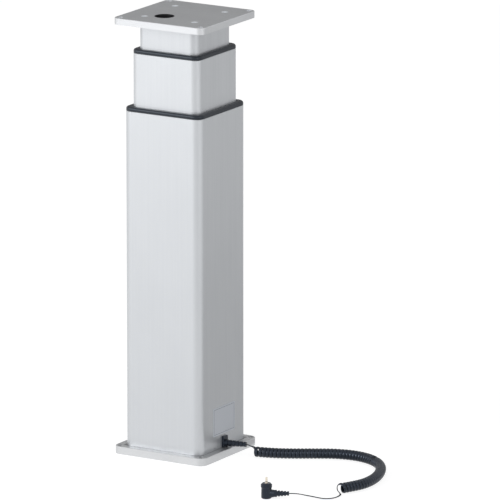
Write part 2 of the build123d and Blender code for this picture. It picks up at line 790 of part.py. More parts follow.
middle_carrier_screws = countersunk_screws(
    downward.offset(middle_carrier_thick - middle_foot),
    middle_port_pitch,
    carrier_screw_length,
    carrier_screw_dia,
    carrier_head_dia,
)
middle_carrier_screws.part.label = "middle_carrier_screws"
export_step(middle_carrier_screws.part, "parts/middle_carrier_screws.step")

with BuildPart() as lower_nut:
    with BuildSketch(upward.offset(middle_foot)):
        Circle(lower_nut_body_dia / 2)
    extrude(amount=-middle_carrier_thick)
    with BuildSketch(upward.offset(middle_foot - middle_carrier_thick)):
        Circle(lower_nut_flange_dia / 2)
    extrude(amount=-nut_flange_thick)
    with BuildSketch(upward.offset(middle_foot - middle_carrier_thick - nut_flange_thick)):
        Circle(lower_nut_nose_dia / 2)
    extrude(amount=-lower_nut_nose)
    chamfer(lower_nut.edges().group_by(Axis.Z)[0], nut_edge)
    with BuildSketch(upward.offset(middle_foot)):
        Circle(lower_screw_dia / 2 + running_gap)
    extrude(amount=-(middle_carrier_thick + nut_flange_thick + lower_nut_nose), mode=Mode.SUBTRACT)
    with Locations(downward.offset(-lower_flange_floor)):
        with GridLocations(lower_nut_screw_pitch, lower_nut_screw_pitch, 2, 2):
            CounterSinkHole(
                (small_screw_dia + screw_hole_play) / 2, small_head_dia / 2, nut_flange_thick, 90
            )
lower_nut.part.label = "lower_nut"
export_step(lower_nut.part, "parts/lower_nut.step")

lower_nut_screws = countersunk_screws(
    downward.offset(-lower_flange_floor),
    lower_nut_screw_pitch,
    nut_screw_length - 2 * screw_head_play,
    small_screw_dia,
    small_head_dia,
)
lower_nut_screws.part.label = "lower_nut_screws"
export_step(lower_nut_screws.part, "parts/lower_nut_screws.step")

with BuildPart() as hollow_bearing:
    with BuildSketch(upward.offset(seat_floor)):
        Circle(hollow_bearing_dia / 2 - running_gap)
        Circle(hollow_journal_dia / 2 + running_gap, mode=Mode.SUBTRACT)
    extrude(amount=hollow_bearing_height)
    with BuildSketch(upward.offset(seat_top)):
        Circle((hollow_bearing_dia + hollow_journal_dia) / 4 + race_groove)
        Circle((hollow_bearing_dia + hollow_journal_dia) / 4 - race_groove, mode=Mode.SUBTRACT)
    extrude(amount=-race_groove, mode=Mode.SUBTRACT)
hollow_bearing.part.label = "hollow_bearing"
export_step(hollow_bearing.part, "parts/hollow_bearing.step")

with BuildPart() as bearing_cover:
    with BuildSketch(upward.offset(seat_top)):
        Circle(hollow_bearing_dia / 2 + bearing_boss_wall)
        Circle(bearing_cover_bore_dia / 2, mode=Mode.SUBTRACT)
    extrude(amount=bearing_cover_thick)
    chamfer(bearing_cover.faces().sort_by(Axis.Z)[-1].edges(), cover_edge)
bearing_cover.part.label = "bearing_cover"
export_step(bearing_cover.part, "parts/bearing_cover.step")

# ---------------------------------------------------------------- hollow screw, turning in the middle stage
with BuildPart() as hollow_screw:
    with BuildSketch(upward.offset(hollow_foot)):
        Circle(hollow_journal_dia / 2)
    extrude(amount=hollow_bearing_height)
    with BuildSketch(upward.offset(hollow_foot + hollow_bearing_height)):
        Circle(hollow_collar_dia / 2)
    extrude(amount=hollow_collar_height)
    with BuildSketch(upward.offset(hollow_foot + hollow_bearing_height + hollow_collar_height)):
        Circle(hollow_screw_dia / 2)
    extrude(amount=hollow_screw_length - hollow_bearing_height - hollow_collar_height)
    with BuildSketch(upward.offset(hollow_foot)):
        Circle(hollow_bore_dia / 2)
    extrude(amount=hollow_screw_length, mode=Mode.SUBTRACT)
hollow_screw.part.label = "hollow_screw"
export_step(hollow_screw.part, "parts/hollow_screw.step")

with BuildPart() as drive_bush:
    with BuildSketch(upward.offset(hollow_foot)):
        Circle(hollow_bore_dia / 2 - running_gap)
        Circle(lower_screw_dia / 2 + running_gap, mode=Mode.SUBTRACT)
        with PolarLocations(lower_screw_dia / 2 - keyway_depth / 2 + drive_key_gap, 2):
            Rectangle(keyway_depth, keyway_width - 2 * drive_key_gap)
    extrude(amount=drive_bush_height)
drive_bush.part.label = "drive_bush"
export_step(drive_bush.part, "parts/drive_bush.step")

with BuildPart() as upper_stop:
    with BuildSketch(upward.offset(hollow_top)):
        Circle(upper_stop_dia / 2)
        Circle(hollow_bore_dia / 2, mode=Mode.SUBTRACT)
    extrude(amount=upper_stop_height)
    chamfer(upper_stop.faces().sort_by(Axis.Z)[-1].edges(), cover_edge)
upper_stop.part.label = "upper_stop"
export_step(upper_stop.part, "parts/upper_stop.step")

# ---------------------------------------------------------------- inner stage
with BuildPart() as inner_tube:
    with BuildSketch(upward.offset(inner_foot)):
        tube_section(
            inner_side, inner_wall, inner_corner, inner_port_pitch, inner_port_boss_dia, large_screw_dia
        )
    extrude(amount=inner_height)
inner_tube.part.label = "inner_tube"
export_step(inner_tube.part, "parts/inner_tube.step")

inner_foot_glides = glide_pads(inner_side / 2, inner_slide_gap - pad_clearance, inner_foot, False)
inner_foot_glides.part.label = "inner_foot_glides"
export_step(inner_foot_glides.part, "parts/inner_foot_glides.step")

with BuildPart() as inner_carrier:
    with BuildSketch(upward.offset(inner_foot)):
        RectangleRounded(
            inner_side - 2 * carrier_inset, inner_side - 2 * carrier_inset, inner_corner - carrier_inset
        )
        Circle(upper_nut_body_dia / 2 + running_gap, mode=Mode.SUBTRACT)
        with Locations((-carrier_cable_offset, -carrier_cable_offset)):
            Circle(carrier_cable_dia / 2, mode=Mode.SUBTRACT)
    extrude(amount=-inner_carrier_thick)
    with Locations(downward.offset(inner_carrier_thick - inner_foot)):
        with GridLocations(inner_port_pitch, inner_port_pitch, 2, 2):
            CounterSinkHole(
                (large_screw_dia + screw_hole_play) / 2, carrier_head_dia / 2, inner_carrier_thick, 90
            )
        with GridLocations(upper_nut_screw_pitch, upper_nut_screw_pitch, 2, 2):
            Hole((small_screw_dia + screw_thread_play) / 2, nut_screw_length - nut_flange_thick)
inner_carrier.part.label = "inner_carrier"
export_step(inner_carrier.part, "parts/inner_carrier.step")

inner_carrier_screws = countersunk_screws(
    downward.offset(inner_carrier_thick - inner_foot),
    inner_port_pitch,
    carrier_screw_length,
    large_screw_dia,
    carrier_head_dia,
)
inner_carrier_screws.part.label = "inner_carrier_screws"
export_step(inner_carrier_screws.part, "parts/inner_carrier_screws.step")

with BuildPart() as upper_nut:
    with BuildSketch(upward.offset(inner_foot + upper_nut_nose)):
        Circle(upper_nut_body_dia / 2)
    extrude(amount=-(upper_nut_nose + inner_carrier_thick))
    chamfer(upper_nut.edges().group_by(Axis.Z)[-1], nut_edge)
    with BuildSketch(upward.offset(inner_foot - inner_carrier_thick)):
        Circle(upper_nut_flange_dia / 2)
    extrude(amount=-nut_flange_thick)
    with BuildSketch(upward.offset(inner_foot + upper_nut_nose)):
        Circle(hollow_screw_dia / 2 + running_gap)
    extrude(amount=-(upper_nut_nose + inner_carrier_thick + nut_flange_thick), mode=Mode.SUBTRACT)
    with Locations(downward.offset(-upper_flange_floor)):
        with GridLocations(upper_nut_screw_pitch, upper_nut_screw_pitch, 2, 2):
            CounterSinkHole(
                (small_screw_dia + screw_hole_play) / 2, small_head_dia / 2, nut_flange_thick, 90
            )
upper_nut.part.label = "upper_nut"
export_step(upper_nut.part, "parts/upper_nut.step")

upper_nut_screws = countersunk_screws(
    downward.offset(-upper_flange_floor),
    upper_nut_screw_pitch,
    nut_screw_length - 2 * screw_head_play,
    small_screw_dia,
    small_head_dia,
)
upper_nut_screws.part.label = "upper_nut_screws"
export_step(upper_nut_screws.part, "parts/upper_nut_screws.step")

with BuildPart() as top_plate:
    with BuildSketch(upward.offset(inner_top)):
        RectangleRounded(top_side, top_side, top_corner)
    extrude(amount=top_thick)
    chamfer(top_plate.faces().sort_by(Axis.Z)[-1].edges(), plate_edge)
    with BuildSketch(upward.offset(inner_top)):
        with GridLocations(top_bolt_pitch, top_bolt_pitch, 2, 2):
            Circle(top_bolt_dia / 2)
        with Locations((cable_hole_x, cable_hole_y)):
            Circle(cable_hole_dia / 2)
    extrude(amount=top_thick, mode=Mode.SUBTRACT)
    with Locations(upward.offset(inner_top + top_thick)):
        with GridLocations(inner_port_pitch, inner_port_pitch, 2, 2):
            CounterSinkHole((large_screw_dia + screw_hole_play) / 2, large_head_dia / 2, top_thick, 90)
top_plate.part.label = "top_plate"
export_step(top_plate.part, "parts/top_plate.step")

top_screws = countersunk_screws(
    upward.offset(inner_top + top_thick),
    inner_port_pitch,
    large_screw_length,
    large_screw_dia,
    large_head_dia,
)
top_screws.part.label = "top_screws"
export_step(top_screws.part, "parts/top_screws.step")

# ---------------------------------------------------------------- control board beside the motor
with BuildPart() as control_board:
    with BuildSketch(Plane.YZ.offset(board_back)):
        with Locations((inlet_y, board_floor + board_height / 2)):
            RectangleRounded(board_width, board_height, board_corner)
    extrude(amount=-board_thick)
control_board.part.label = "control_board"
export_step(control_board.part, "parts/control_board.step")

with BuildPart() as board_standoffs:
    with BuildSketch(Plane.YZ.offset(board_back)):
        with Locations((inlet_y, board_floor + board_height / 2)):
            with GridLocations(board_width - 2 * standoff_inset, board_height - 2 * standoff_inset, 2, 2):
                Circle(standoff_dia / 2)
    extrude(amount=board_standoff)
board_standoffs.part.label = "board_standoffs"
export_step(board_standoffs.part, "parts/board_standoffs.step")

with BuildPart() as board_relays:
    with BuildSketch(Plane.YZ.offset(board_front)):
        with Locations((inlet_y, board_floor + board_height - relay_height)):
            with GridLocations(relay_pitch, 0, 2, 1):
                Rectangle(relay_width, relay_height)
    extrude(amount=-relay_depth)
board_relays.part.label = "board_relays"
export_step(board_relays.part, "parts/board_relays.step")

with BuildPart() as board_capacitor:
    with BuildSketch(Plane.YZ.offset(board_front)):
        with Locations((inlet_y - capacitor_dia / 2, board_floor + board_height / 2)):
            Circle(capacitor_dia / 2)
    extrude(amount=-capacitor_height)
    fillet(board_capacitor.edges().group_by(Axis.X)[0], capacitor_edge)
board_capacitor.part.label = "board_capacitor"
export_step(board_capacitor.part, "parts/board_capacitor.step")

with BuildPart() as board_terminals:
    with BuildSketch(Plane.YZ.offset(board_front)):
        with Locations((inlet_y, board_floor + standoff_inset + terminal_height)):
            Rectangle(board_width - 4 * standoff_inset, terminal_height)
    extrude(amount=-terminal_depth)
board_terminals.part.label = "board_terminals"
export_step(board_terminals.part, "parts/board_terminals.step")

# ---------------------------------------------------------------- inlet and the plug of the lead
with BuildPart() as inlet_socket:
    with BuildSketch(Plane.YZ.offset(inner_face)):
        with Locations((inlet_y, inlet_z)):
            Rectangle(
                inlet_nose_width + 2 * (inlet_play + socket_wall),
                inlet_nose_height + 2 * (inlet_play + socket_wall),
            )
    extrude(amount=-(inlet_nose_length - outer_wall + inlet_play + socket_back))
    with BuildSketch(Plane.YZ.offset(inner_face)):
        with Locations((inlet_y, inlet_z)):
            Rectangle(inlet_nose_width + 2 * inlet_play, inlet_nose_height + 2 * inlet_play)
    extrude(amount=-(inlet_nose_length - outer_wall + inlet_play), mode=Mode.SUBTRACT)
inlet_socket.part.label = "inlet_socket"
export_step(inlet_socket.part, "parts/inlet_socket.step")

boot_root = Vector(outer_face + inlet_block_thick / 2, inlet_y, inlet_z - boot_drop)
boot_tip = boot_root + along(boot_turn) * boot_length
with BuildPart() as inlet_plug:
    with BuildSketch(Plane.YZ.offset(outer_face)):
        with Locations((inlet_y, inlet_z)):
            RectangleRounded(inlet_width, inlet_height, inlet_corner)
    extrude(amount=inlet_block_thick)
    chamfer(inlet_plug.edges().group_by(Axis.X)[-1], inlet_corner / 2)
    with BuildSketch(Plane.YZ.offset(outer_face)):
        with Locations((inlet_y, inlet_z)):
            Rectangle(inlet_nose_width, inlet_nose_height)
    extrude(amount=-inlet_nose_length)
    with BuildSketch(Plane(origin=boot_root, x_dir=along(boot_turn), z_dir=(0, 0, 1))):
        with BuildLine():
            Polyline(
                *boot_outline(
                    boot_root_dia, boot_root_length, boot_dia, boot_tip_dia, boot_length, boot_ribs
                ),
                close=True,
            )
        make_face()
    revolve(axis=Axis(boot_root, along(boot_turn)))
inlet_plug.part.label = "inlet_plug"
export_step(inlet_plug.part, "parts/inlet_plug.step")

with BuildPart() as rating_label:
    with BuildSketch(Plane.YZ.offset(outer_face)):
        with Locations((inlet_y, label_floor + label_height / 2)):
            RectangleRounded(label_width, label_height, label_corner)
    extrude(amount=label_thick)
rating_label.part.label = "rating_label"
export_step(rating_label.part, "parts/rating_label.step")

# ---------------------------------------------------------------- curly lead, lying on the floor
coil_axis = floor_gap + coil_dia / 2
wire_floor = floor_gap + wire_dia / 2
coil_lift = (coil_dia - wire_dia) / 2
coil_route = [
    (137.5, 14.0, coil_axis),
    (161.0, 18.0, coil_axis),
    (198.0, 34.0, coil_axis),
    (235.5, 57.5, coil_axis),
    (269.5, 76.5, coil_axis),
    (306.0, 83.5, coil_axis),
    (341.5, 74.0, coil_axis),
    (372.5, 51.0, coil_axis),
    (397.5, 16.0, coil_axis),
    (414.5, -29.5, coil_axis),
    (416.5, -71.0, coil_axis),
    (408.0, -100.0, coil_axis),
    (395.0, -126.0, coil_axis),
]
coil = cord("lead_coil", coil_route, coil_dia)
coil.part.label = "lead_coil"
export_step(coil.part, "parts/lead_coil.step")

coil_start = Vector(*coil_route[0]) + Vector(0, 0, coil_lift)
coil_heading = (Vector(*coil_route[1]) - Vector(*coil_route[0])).normalized()
start_route = [
    boot_tip,
    boot_tip + along(boot_turn) * boot_run,
    coil_start - coil_heading * coil_start_run,
    coil_start,
]
lead_start = cord("lead_start", [tuple(point) for point in start_route], wire_dia)
lead_start.part.label = "lead_start"
export_step(lead_start.part, "parts/lead_start.step")

jack_heading = along(jack_turn)
jack_tip = Vector(jack_x, jack_y, jack_boot_height) + jack_heading * jack_boot_reach
jack_root = Plane(origin=(jack_x, jack_y, jack_boot_height), z_dir=jack_heading)
jack_root_start = sqrt(jack_dia**2 - jack_root_dia**2) / 2
coil_leaving = (Vector(*coil_route[-1]) - Vector(*coil_route[-2])).normalized()
coil_end = (
    Vector(*coil_route[-1])
    + Vector(0, 0, 1).cross(coil_leaving) * coil_exit_side
    - Vector(0, 0, sqrt(coil_lift**2 - coil_exit_side**2))
)
end_route = [
    coil_end,
    coil_end + coil_leaving * coil_end_run,
    Vector(399.0, -153.0, wire_floor),
    Vector(399.0, -166.0, wire_floor),
    Vector(391.0, -173.5, wire_floor),
    Vector(379.0, -173.0, wire_floor),
    Vector(366.0, -169.5, wire_floor),
    Vector(354.5, -173.5, first_rise),
    Vector(348.5, -180.5, second_rise),
    jack_tip + jack_heading * jack_run,
    jack_tip,
]
lead_end = cord("lead_end", [tuple(point) for point in end_route], wire_dia)
lead_end.part.label = "lead_end"
export_step(lead_end.part, "parts/lead_end.step")

# ---------------------------------------------------------------- right-angle plug, standing on the floor
jack_foot = Plane(origin=(jack_x, jack_y, 0), x_dir=jack_heading, z_dir=jack_heading.cross(Vector(0, 0, 1)))
with BuildPart() as jack_body:
    with BuildSketch(jack_foot):
        with BuildLine():
            Polyline(
                (0, 0),
                (jack_dia / 2, 0),
                (jack_dia / 2, jack_boot_height),
                (jack_waist_dia / 2, jack_collar_floor),
                (jack_collar_dia / 2, jack_collar_floor + jack_collar_round),
                (jack_collar_dia / 2, jack_height - jack_shoulder),
                (jack_top_dia / 2, jack_height),
                (0, jack_height),
                close=True,
            )
        make_face()
    revolve(axis=Axis((jack_x, jack_y, 0), (0, 0, 1)))
    fillet(jack_body.edges().group_by(Axis.Z)[0], jack_foot_round)
    with BuildSketch(Plane(origin=(jack_x, jack_y, jack_boot_height), x_dir=jack_heading, z_dir=(0, 0, 1))):
        with BuildLine():
            Polyline(
                *boot_outline(
                    jack_neck_dia,
                    jack_dia / 2 + jack_neck_length,
                    jack_boot_dia,
                    jack_boot_tip_dia,
                    jack_boot_reach,
                    jack_boot_ribs,
                ),
                close=True,
            )
        make_face()
    revolve(axis=Axis((jack_x, jack_y, jack_boot_height), jack_heading))
    with Locations(jack_root.offset(jack_root_start)):
        Cone(jack_root_dia / 2, jack_neck_dia / 2, jack_root_length, align=STANDING)
jack_body.part.label = "jack_body"
export_step(jack_body.part, "parts/jack_body.step")

with BuildPart() as jack_sleeve:
    with Locations((jack_x, jack_y, jack_height)):
        Cylinder(pin_dia / 2, pin_sleeve_length, align=STANDING)
        Cylinder(pin_washer_dia / 2, pin_washer_thick, align=STANDING)
jack_sleeve.part.label = "jack_sleeve"
export_step(jack_sleeve.part, "parts/jack_sleeve.step")

with BuildPart() as jack_insulator:
    with Locations((jack_x, jack_y, jack_height + pin_sleeve_length)):
        Cylinder(pin_dia / 2, pin_insulator_length, align=STANDING)
jack_insulator.part.label = "jack_insulator"
export_step(jack_insulator.part, "parts/jack_insulator.step")

with BuildPart() as jack_tip_pin:
    with Locations((jack_x, jack_y, jack_height + pin_sleeve_length + pin_insulator_length)):
        Cylinder(pin_dia / 2, pin_tip_length, align=STANDING)
    fillet(jack_tip_pin.edges().group_by(Axis.Z)[-1], pin_tip_round)
jack_tip_pin.part.label = "jack_tip_pin"
export_step(jack_tip_pin.part, "parts/jack_tip_pin.step")
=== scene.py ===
# %% [markdown]
# # Dressing an electric lifting column
# The column is three square aluminium tubes, one inside the other, on a foot plate that is bolted
# to the floor. A plate on top carries whatever is lifted. A black curly lead plugs in near the
# foot. The solids are already made, at their real size and in metres. This notebook gives them
# their finishes, adds the pieces that only a modeller's tools make well, and lights the whole.

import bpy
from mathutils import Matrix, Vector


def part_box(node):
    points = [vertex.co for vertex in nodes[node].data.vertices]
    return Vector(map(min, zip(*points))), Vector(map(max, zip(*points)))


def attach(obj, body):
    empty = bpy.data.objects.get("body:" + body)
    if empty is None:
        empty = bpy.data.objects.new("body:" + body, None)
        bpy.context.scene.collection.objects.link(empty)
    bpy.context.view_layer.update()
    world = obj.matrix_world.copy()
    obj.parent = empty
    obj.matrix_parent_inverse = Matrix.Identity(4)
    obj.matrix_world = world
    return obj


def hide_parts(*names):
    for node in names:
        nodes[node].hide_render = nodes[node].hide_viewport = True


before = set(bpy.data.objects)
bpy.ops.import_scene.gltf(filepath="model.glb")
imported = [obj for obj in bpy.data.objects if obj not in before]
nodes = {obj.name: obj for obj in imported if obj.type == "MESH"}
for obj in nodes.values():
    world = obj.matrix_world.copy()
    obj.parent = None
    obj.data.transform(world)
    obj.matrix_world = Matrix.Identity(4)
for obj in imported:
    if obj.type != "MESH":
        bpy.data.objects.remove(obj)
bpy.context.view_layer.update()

# %% The rest of the tools
from math import ceil, cos, pi, radians, sin

import bpy
from mathutils import Vector

mm = 0.001
up = Vector((0, 0, 1))
scene = bpy.context.scene


def add_node(tree, kind, sockets=None, **settings):
    """Add one node; its sockets take a number, a colour or another node's output."""
    node = tree.nodes.new(kind)
    for name, value in settings.items():
        setattr(node, name, value)
    for name, value in (sockets or {}).items():
        if isinstance(value, bpy.types.NodeSocket):
            tree.links.new(value, node.inputs[name])
        else:
            node.inputs[name].default_value = value
    return node


print("tools ready for", len(nodes), "solids")

# %% [markdown]
# ## How finishes are made
# Every finish is a small tree of nodes on Blender's Principled shader. A plain colour would look
# like a toy, because real metal and plastic never have quite the same tone, gloss and smoothness
# all over. So each finish gets noise for its cloudiness, stretched noise for the lines that a tool
# or a die leaves, and a shallow relief. All of it is fixed to the object's own coordinates in
# metres, so a pattern's size can be given as it would be measured. A few short helpers come first,
# so that each finish afterwards reads as a recipe.

# %% A new finish and its noise
def new_finish(name, colour, roughness, metallic=0.0, **others):
    """A Principled material, with what is the same all over it set on the shader itself."""
    material = bpy.data.materials.new(name)
    material.use_nodes = True
    shader = material.node_tree.nodes["Principled BSDF"]
    shader.inputs["Base Color"].default_value = (*colour, 1)
    shader.inputs["Roughness"].default_value = roughness
    shader.inputs["Metallic"].default_value = metallic
    for name, value in others.items():
        socket = name.replace("_", " ").title().replace("Ior", "IOR")
        shader.inputs[socket].default_value = value
    return material, material.node_tree, shader


def place_on_object(tree):
    """Where a point lies on the object, in metres."""
    return add_node(tree, "ShaderNodeTexCoord").outputs["Object"]


def place_by_axis(tree):
    """The same place as three numbers, X, Y and Z."""
    return add_node(tree, "ShaderNodeSeparateXYZ", {0: place_on_object(tree)}).outputs


def cloud(tree, patch, stretch=(1, 1, 1), detail=3.0):
    """Soft noise, from 0 to 1, in patches this many metres across before they are stretched."""
    scale = [1 / (patch * along) for along in stretch]
    mapping = add_node(tree, "ShaderNodeMapping", {"Vector": place_on_object(tree), "Scale": scale})
    noise = add_node(
        tree, "ShaderNodeTexNoise", {"Vector": mapping.outputs[0], "Scale": 1.0, "Detail": detail}
    )
    spread = add_node(tree, "ShaderNodeMapRange", {0: noise.outputs[0], 1: 0.3, 2: 0.7})
    return spread.outputs[0]


print("a patch of 5 mm takes a noise scale of", round(1 / (5 * mm)))

# %% [markdown]
# The rest are sums and mixes on the surface. Some nodes have several inputs of one name, which are
# reached by number. A Map Range has its value at 0, the ends it comes from at 1 and 2, and those it
# goes to at 3 and 4. A Mix has its share at 0 and its two colours at 6 and 7.

# %% Sums, mixes, relief and dressing
def calculate(tree, operation, first, second=0.0, third=0.0):
    """One sum on the surface."""
    sockets = {0: first, 1: second, 2: third}
    return add_node(tree, "ShaderNodeMath", sockets, operation=operation).outputs[0]


def between(tree, value, low, high):
    """Turn a value of 0 to 1 into one of low to high."""
    return add_node(tree, "ShaderNodeMapRange", {0: value, 3: low, 4: high}).outputs[0]


def mix_colours(tree, value, first, second):
    """The first colour where the value is 0 and the second where it is 1."""
    sockets = {0: value}
    for socket, colour in ((6, first), (7, second)):
        sockets[socket] = colour if isinstance(colour, bpy.types.NodeSocket) else (*colour, 1)
    return add_node(tree, "ShaderNodeMix", sockets, data_type="RGBA").outputs[2]


def vary(tree, shader, tone, colours, gloss, roughness):
    """Let the colour and the roughness wander, each between its own two values."""
    tree.links.new(mix_colours(tree, tone, *colours), shader.inputs["Base Color"])
    tree.links.new(between(tree, gloss, *roughness), shader.inputs["Roughness"])


def give_relief(tree, shader, height, depth, strength=1.0):
    """Raise and lower the surface by this depth in metres, as light sees it."""
    sockets = {"Height": height, "Distance": depth, "Strength": strength}
    bump = add_node(tree, "ShaderNodeBump", sockets)
    tree.links.new(bump.outputs[0], shader.inputs["Normal"])


def dress(material, *names):
    """Give these solids a finish."""
    for name in names:
        for slot in nodes[name].material_slots:
            slot.material = material
        undressed.discard(name)


undressed = set(nodes)
print(len(undressed), "solids to dress")

# %% [markdown]
# ## The camera
# A product picture is taken from far away with a long lens, so that upright edges stay nearly
# parallel. The camera is placed by its bearing and its height angle round a point that it looks at,
# because those are the numbers a photographer would read off a tripod. The lens is long and the
# sensor is Blender's usual 36 mm one.

# %% Place the camera
look_at = Vector((0.0992, 0.0598, 0.3665))
bearing = radians(31.078)
height_angle = radians(13.496)
camera_distance = 14.651
lens_length = 590.7

towards_camera = Vector(
    (
        sin(bearing) * cos(height_angle),
        -cos(bearing) * cos(height_angle),
        sin(height_angle),
    )
)
camera_data = bpy.data.cameras.new("camera")
camera_data.lens = lens_length
camera_data.clip_end = 4 * camera_distance
camera = bpy.data.objects.new("camera", camera_data)
camera.location = look_at + camera_distance * towards_camera
camera.rotation_mode = "QUATERNION"
camera.rotation_quaternion = towards_camera.to_track_quat("Z", "Y")
scene.collection.objects.link(camera)
scene.camera = camera
print("camera at", [round(part, 3) for part in camera.location])

# %% [markdown]
# ## The curly lead
# A curly lead is one flat cord wound round a rod and baked until it keeps its curl. It leaves the
# strain relief straight, turns into the coil, and comes out straight again before the plug. The
# line down the middle of the coil is a smooth NURBS curve just above the floor. The turns are then
# a loop that walks along that line and swings round it. They nearly touch, except at the two ends,
# where they are pulled apart and lean over.

# %% The routes of the straight ends and of the coil
band_width = 6.5 * mm
band_thickness = 3.0 * mm
straight_share = 0.56
tube_diameter = 3.6 * mm
coil_diameter = 19.4 * mm
floor_gap = 0.1 * mm
coil_axis = floor_gap + coil_diameter / 2
wire_floor = floor_gap + tube_diameter / 2
coil_route = [
    (132.6, 13.4),
    (161.0, 18.0),
    (198.0, 34.0),
    (235.5, 57.5),
    (269.5, 76.5),
    (306.0, 83.5),
    (341.5, 75.5),
    (372.0, 54.0),
    (396.0, 19.0),
    (413.5, -29.5),
    (416.5, -71.0),
    (408.0, -100.0),
    (395.9, -124.7),
]
coil_points = [Vector((x * mm, y * mm, coil_axis)) for x, y in coil_route]


def points_on_spline(points, steps):
    """The points down the middle of the smooth NURBS spline that these points pull into shape."""
    curve = bpy.data.curves.new("route", "CURVE")
    curve.dimensions = "3D"
    curve.resolution_u = steps
    spline = curve.splines.new("NURBS")
    spline.points.add(len(points) - 1)
    for control, point in zip(spline.points, points):
        control.co = (*point, 1)
    spline.order_u = 3
    spline.use_endpoint_u = True
    line = bpy.data.objects.new("route", curve)
    scene.collection.objects.link(line)
    bpy.context.view_layer.update()
    graph = bpy.context.evaluated_depsgraph_get()
    mesh = bpy.data.meshes.new_from_object(line.evaluated_get(graph))
    places = [vertex.co.copy() for vertex in mesh.vertices]
    bpy.data.meshes.remove(mesh)
    bpy.data.objects.remove(line)
    return places


def length_of(points):
    """How long the line through these points is."""
    return sum((end - start).length for start, end in zip(points, points[1:]))


axis_points = points_on_spline(coil_points, steps=40)
axis_length = length_of(axis_points)
print("coil is", round(axis_length / mm), "mm long, read at", len(axis_points), "points")

# %% [markdown]
# Somewhere in such a coil the winding often changes hand, because the cord has been twisted and
# has taken the twist out of itself. Here that place is in the bend. Before it the angle round the
# axis grows, and after it the angle falls again towards the one at which the cord must leave. The
# change is made where the two angles meet, so the cord passes through it without a jump.

# %% How far apart the turns lie and how they lean
turn_pitch = 6.6 * mm
opening_pitch = 10.0 * mm
closing_pitch = 8.0 * mm
change_pitch = 12.0 * mm
opening_length = 28 * mm
closing_length = 10 * mm
change_place = 243 * mm
change_length = 6 * mm
opening_lean = 4.5 * mm
closing_lean = 5.0 * mm


def soft_step(low, high, value):
    """0 below low, 1 above high, with a soft change between them."""
    share = min(max((value - low) / (high - low), 0.0), 1.0)
    return share * share * (3 - 2 * share)


def pitch_at(distance):
    """How far apart the turns lie at this distance along the coil."""
    start_share = 1 - soft_step(0, opening_length, distance)
    end_share = 1 - soft_step(0, closing_length, axis_length - distance)
    change_share = 1 - soft_step(0, change_length, abs(distance - change_place))
    opened = (opening_pitch - turn_pitch) * start_share + (closing_pitch - turn_pitch) * end_share
    return turn_pitch + opened + (change_pitch - turn_pitch) * change_share


def lean_share(distance, length, turns_away):
    """How far a turn leans: most at an end of the coil, and on the side that is no turns away."""
    return (1 - soft_step(0, length, distance)) * (1 + cos(2 * pi * turns_away)) / 2


print("turns lie", round(pitch_at(axis_length / 3) / mm, 2), "mm apart away from the ends")

# %% [markdown]
# A walk in small, even steps goes along the axis and adds up the turns that it passes. Twelve
# points on each turn are enough, because the spline rounds them off.

# %% Wind the turns along the coil's axis
walk_step = 0.05 * mm
points_per_turn = 12
wind_radius = (coil_diameter - band_thickness) / 2
first_turn = 20 / 360
last_turn = 168 / 360
opening_side = 180 / 360
closing_side = 310 / 360


def walk(points, step):
    """Place and heading at even steps along a line of points."""
    travelled, wanted = 0.0, 0.0
    for start, end in zip(points, points[1:]):
        run = (end - start).length
        while wanted <= travelled + run:
            yield start.lerp(end, (wanted - travelled) / run), (end - start).normalized()
            wanted += step
        travelled += run


stations = list(walk(axis_points, walk_step))
wound = [0.0]
for count in range(1, len(stations)):
    wound.append(wound[-1] + walk_step / pitch_at(count * walk_step))


def turns_apart(count):
    """How many turns lie between the two windings at this station."""
    growing = first_turn + wound[count]
    falling = last_turn + wound[-1] - wound[count]
    return growing - falling


change = round(change_place / walk_step)
whole_turns = ceil(turns_apart(change))
while turns_apart(change) < whole_turns:
    change += 1

helix_points = []
next_mark = 0.0
for count, (place, heading) in enumerate(stations):
    if wound[count] >= next_mark:
        turn = first_turn + wound[count]
        if count > change:
            turn = last_turn + wound[-1] - wound[count]
        angle = 2 * pi * turn
        outward = cos(angle) * up + sin(angle) * up.cross(heading)
        from_start = count * walk_step
        from_end = axis_length - from_start
        leaning = opening_lean * lean_share(from_start, opening_length, turn - opening_side)
        leaning += closing_lean * lean_share(from_end, closing_length, turn - closing_side)
        helix_points.append(place + wind_radius * outward + leaning * heading)
        next_mark += 1 / points_per_turn
print("turns", round(wound[-1], 2), "with", len(helix_points), "points")

# %% [markdown]
# The cord's whole line, from one plug to the other, is one spline: the few points of the straight
# ends, and between them the many points of the turns. It meets both plugs at the tips of their
# strain reliefs, the boot's and the jack's. The cord is flat, so its section must be turned the
# right way all along. In the coil its flat side faces the axis, the last turn is let go and twists
# on edge, and past the ends the cord lies level. The turns were also pressed wide when they were
# wound, so the straight ends are narrower.

# %% The line of the whole cord
boot_turn = radians(14.0)
boot_run = 3.0 * mm
boot_root = Vector((82.0, 1.6, 21.4)) * mm
boot_length = 40.0 * mm
boot_heading = Vector((cos(boot_turn), sin(boot_turn), 0))
boot_tip = boot_root + boot_length * boot_heading
coil_start_run = 3.0 * mm
coil_start_heading = (coil_points[1] - coil_points[0]).normalized()
jack_turn = radians(31.0)
jack_run = 10.0 * mm
jack_root = Vector((299.5, -216.6, 8.6)) * mm
jack_length = 39.8 * mm
jack_heading = Vector((cos(jack_turn), sin(jack_turn), 0))
jack_tip = jack_root + jack_length * jack_heading
leaving_length = 10.0 * mm
freeing_length = 5.0 * mm
end_heading = (coil_points[-1] - coil_points[-2]).normalized()
# The flat side of the last turn, once it is let go
turned_side = Vector((-0.86, -0.51, 0))

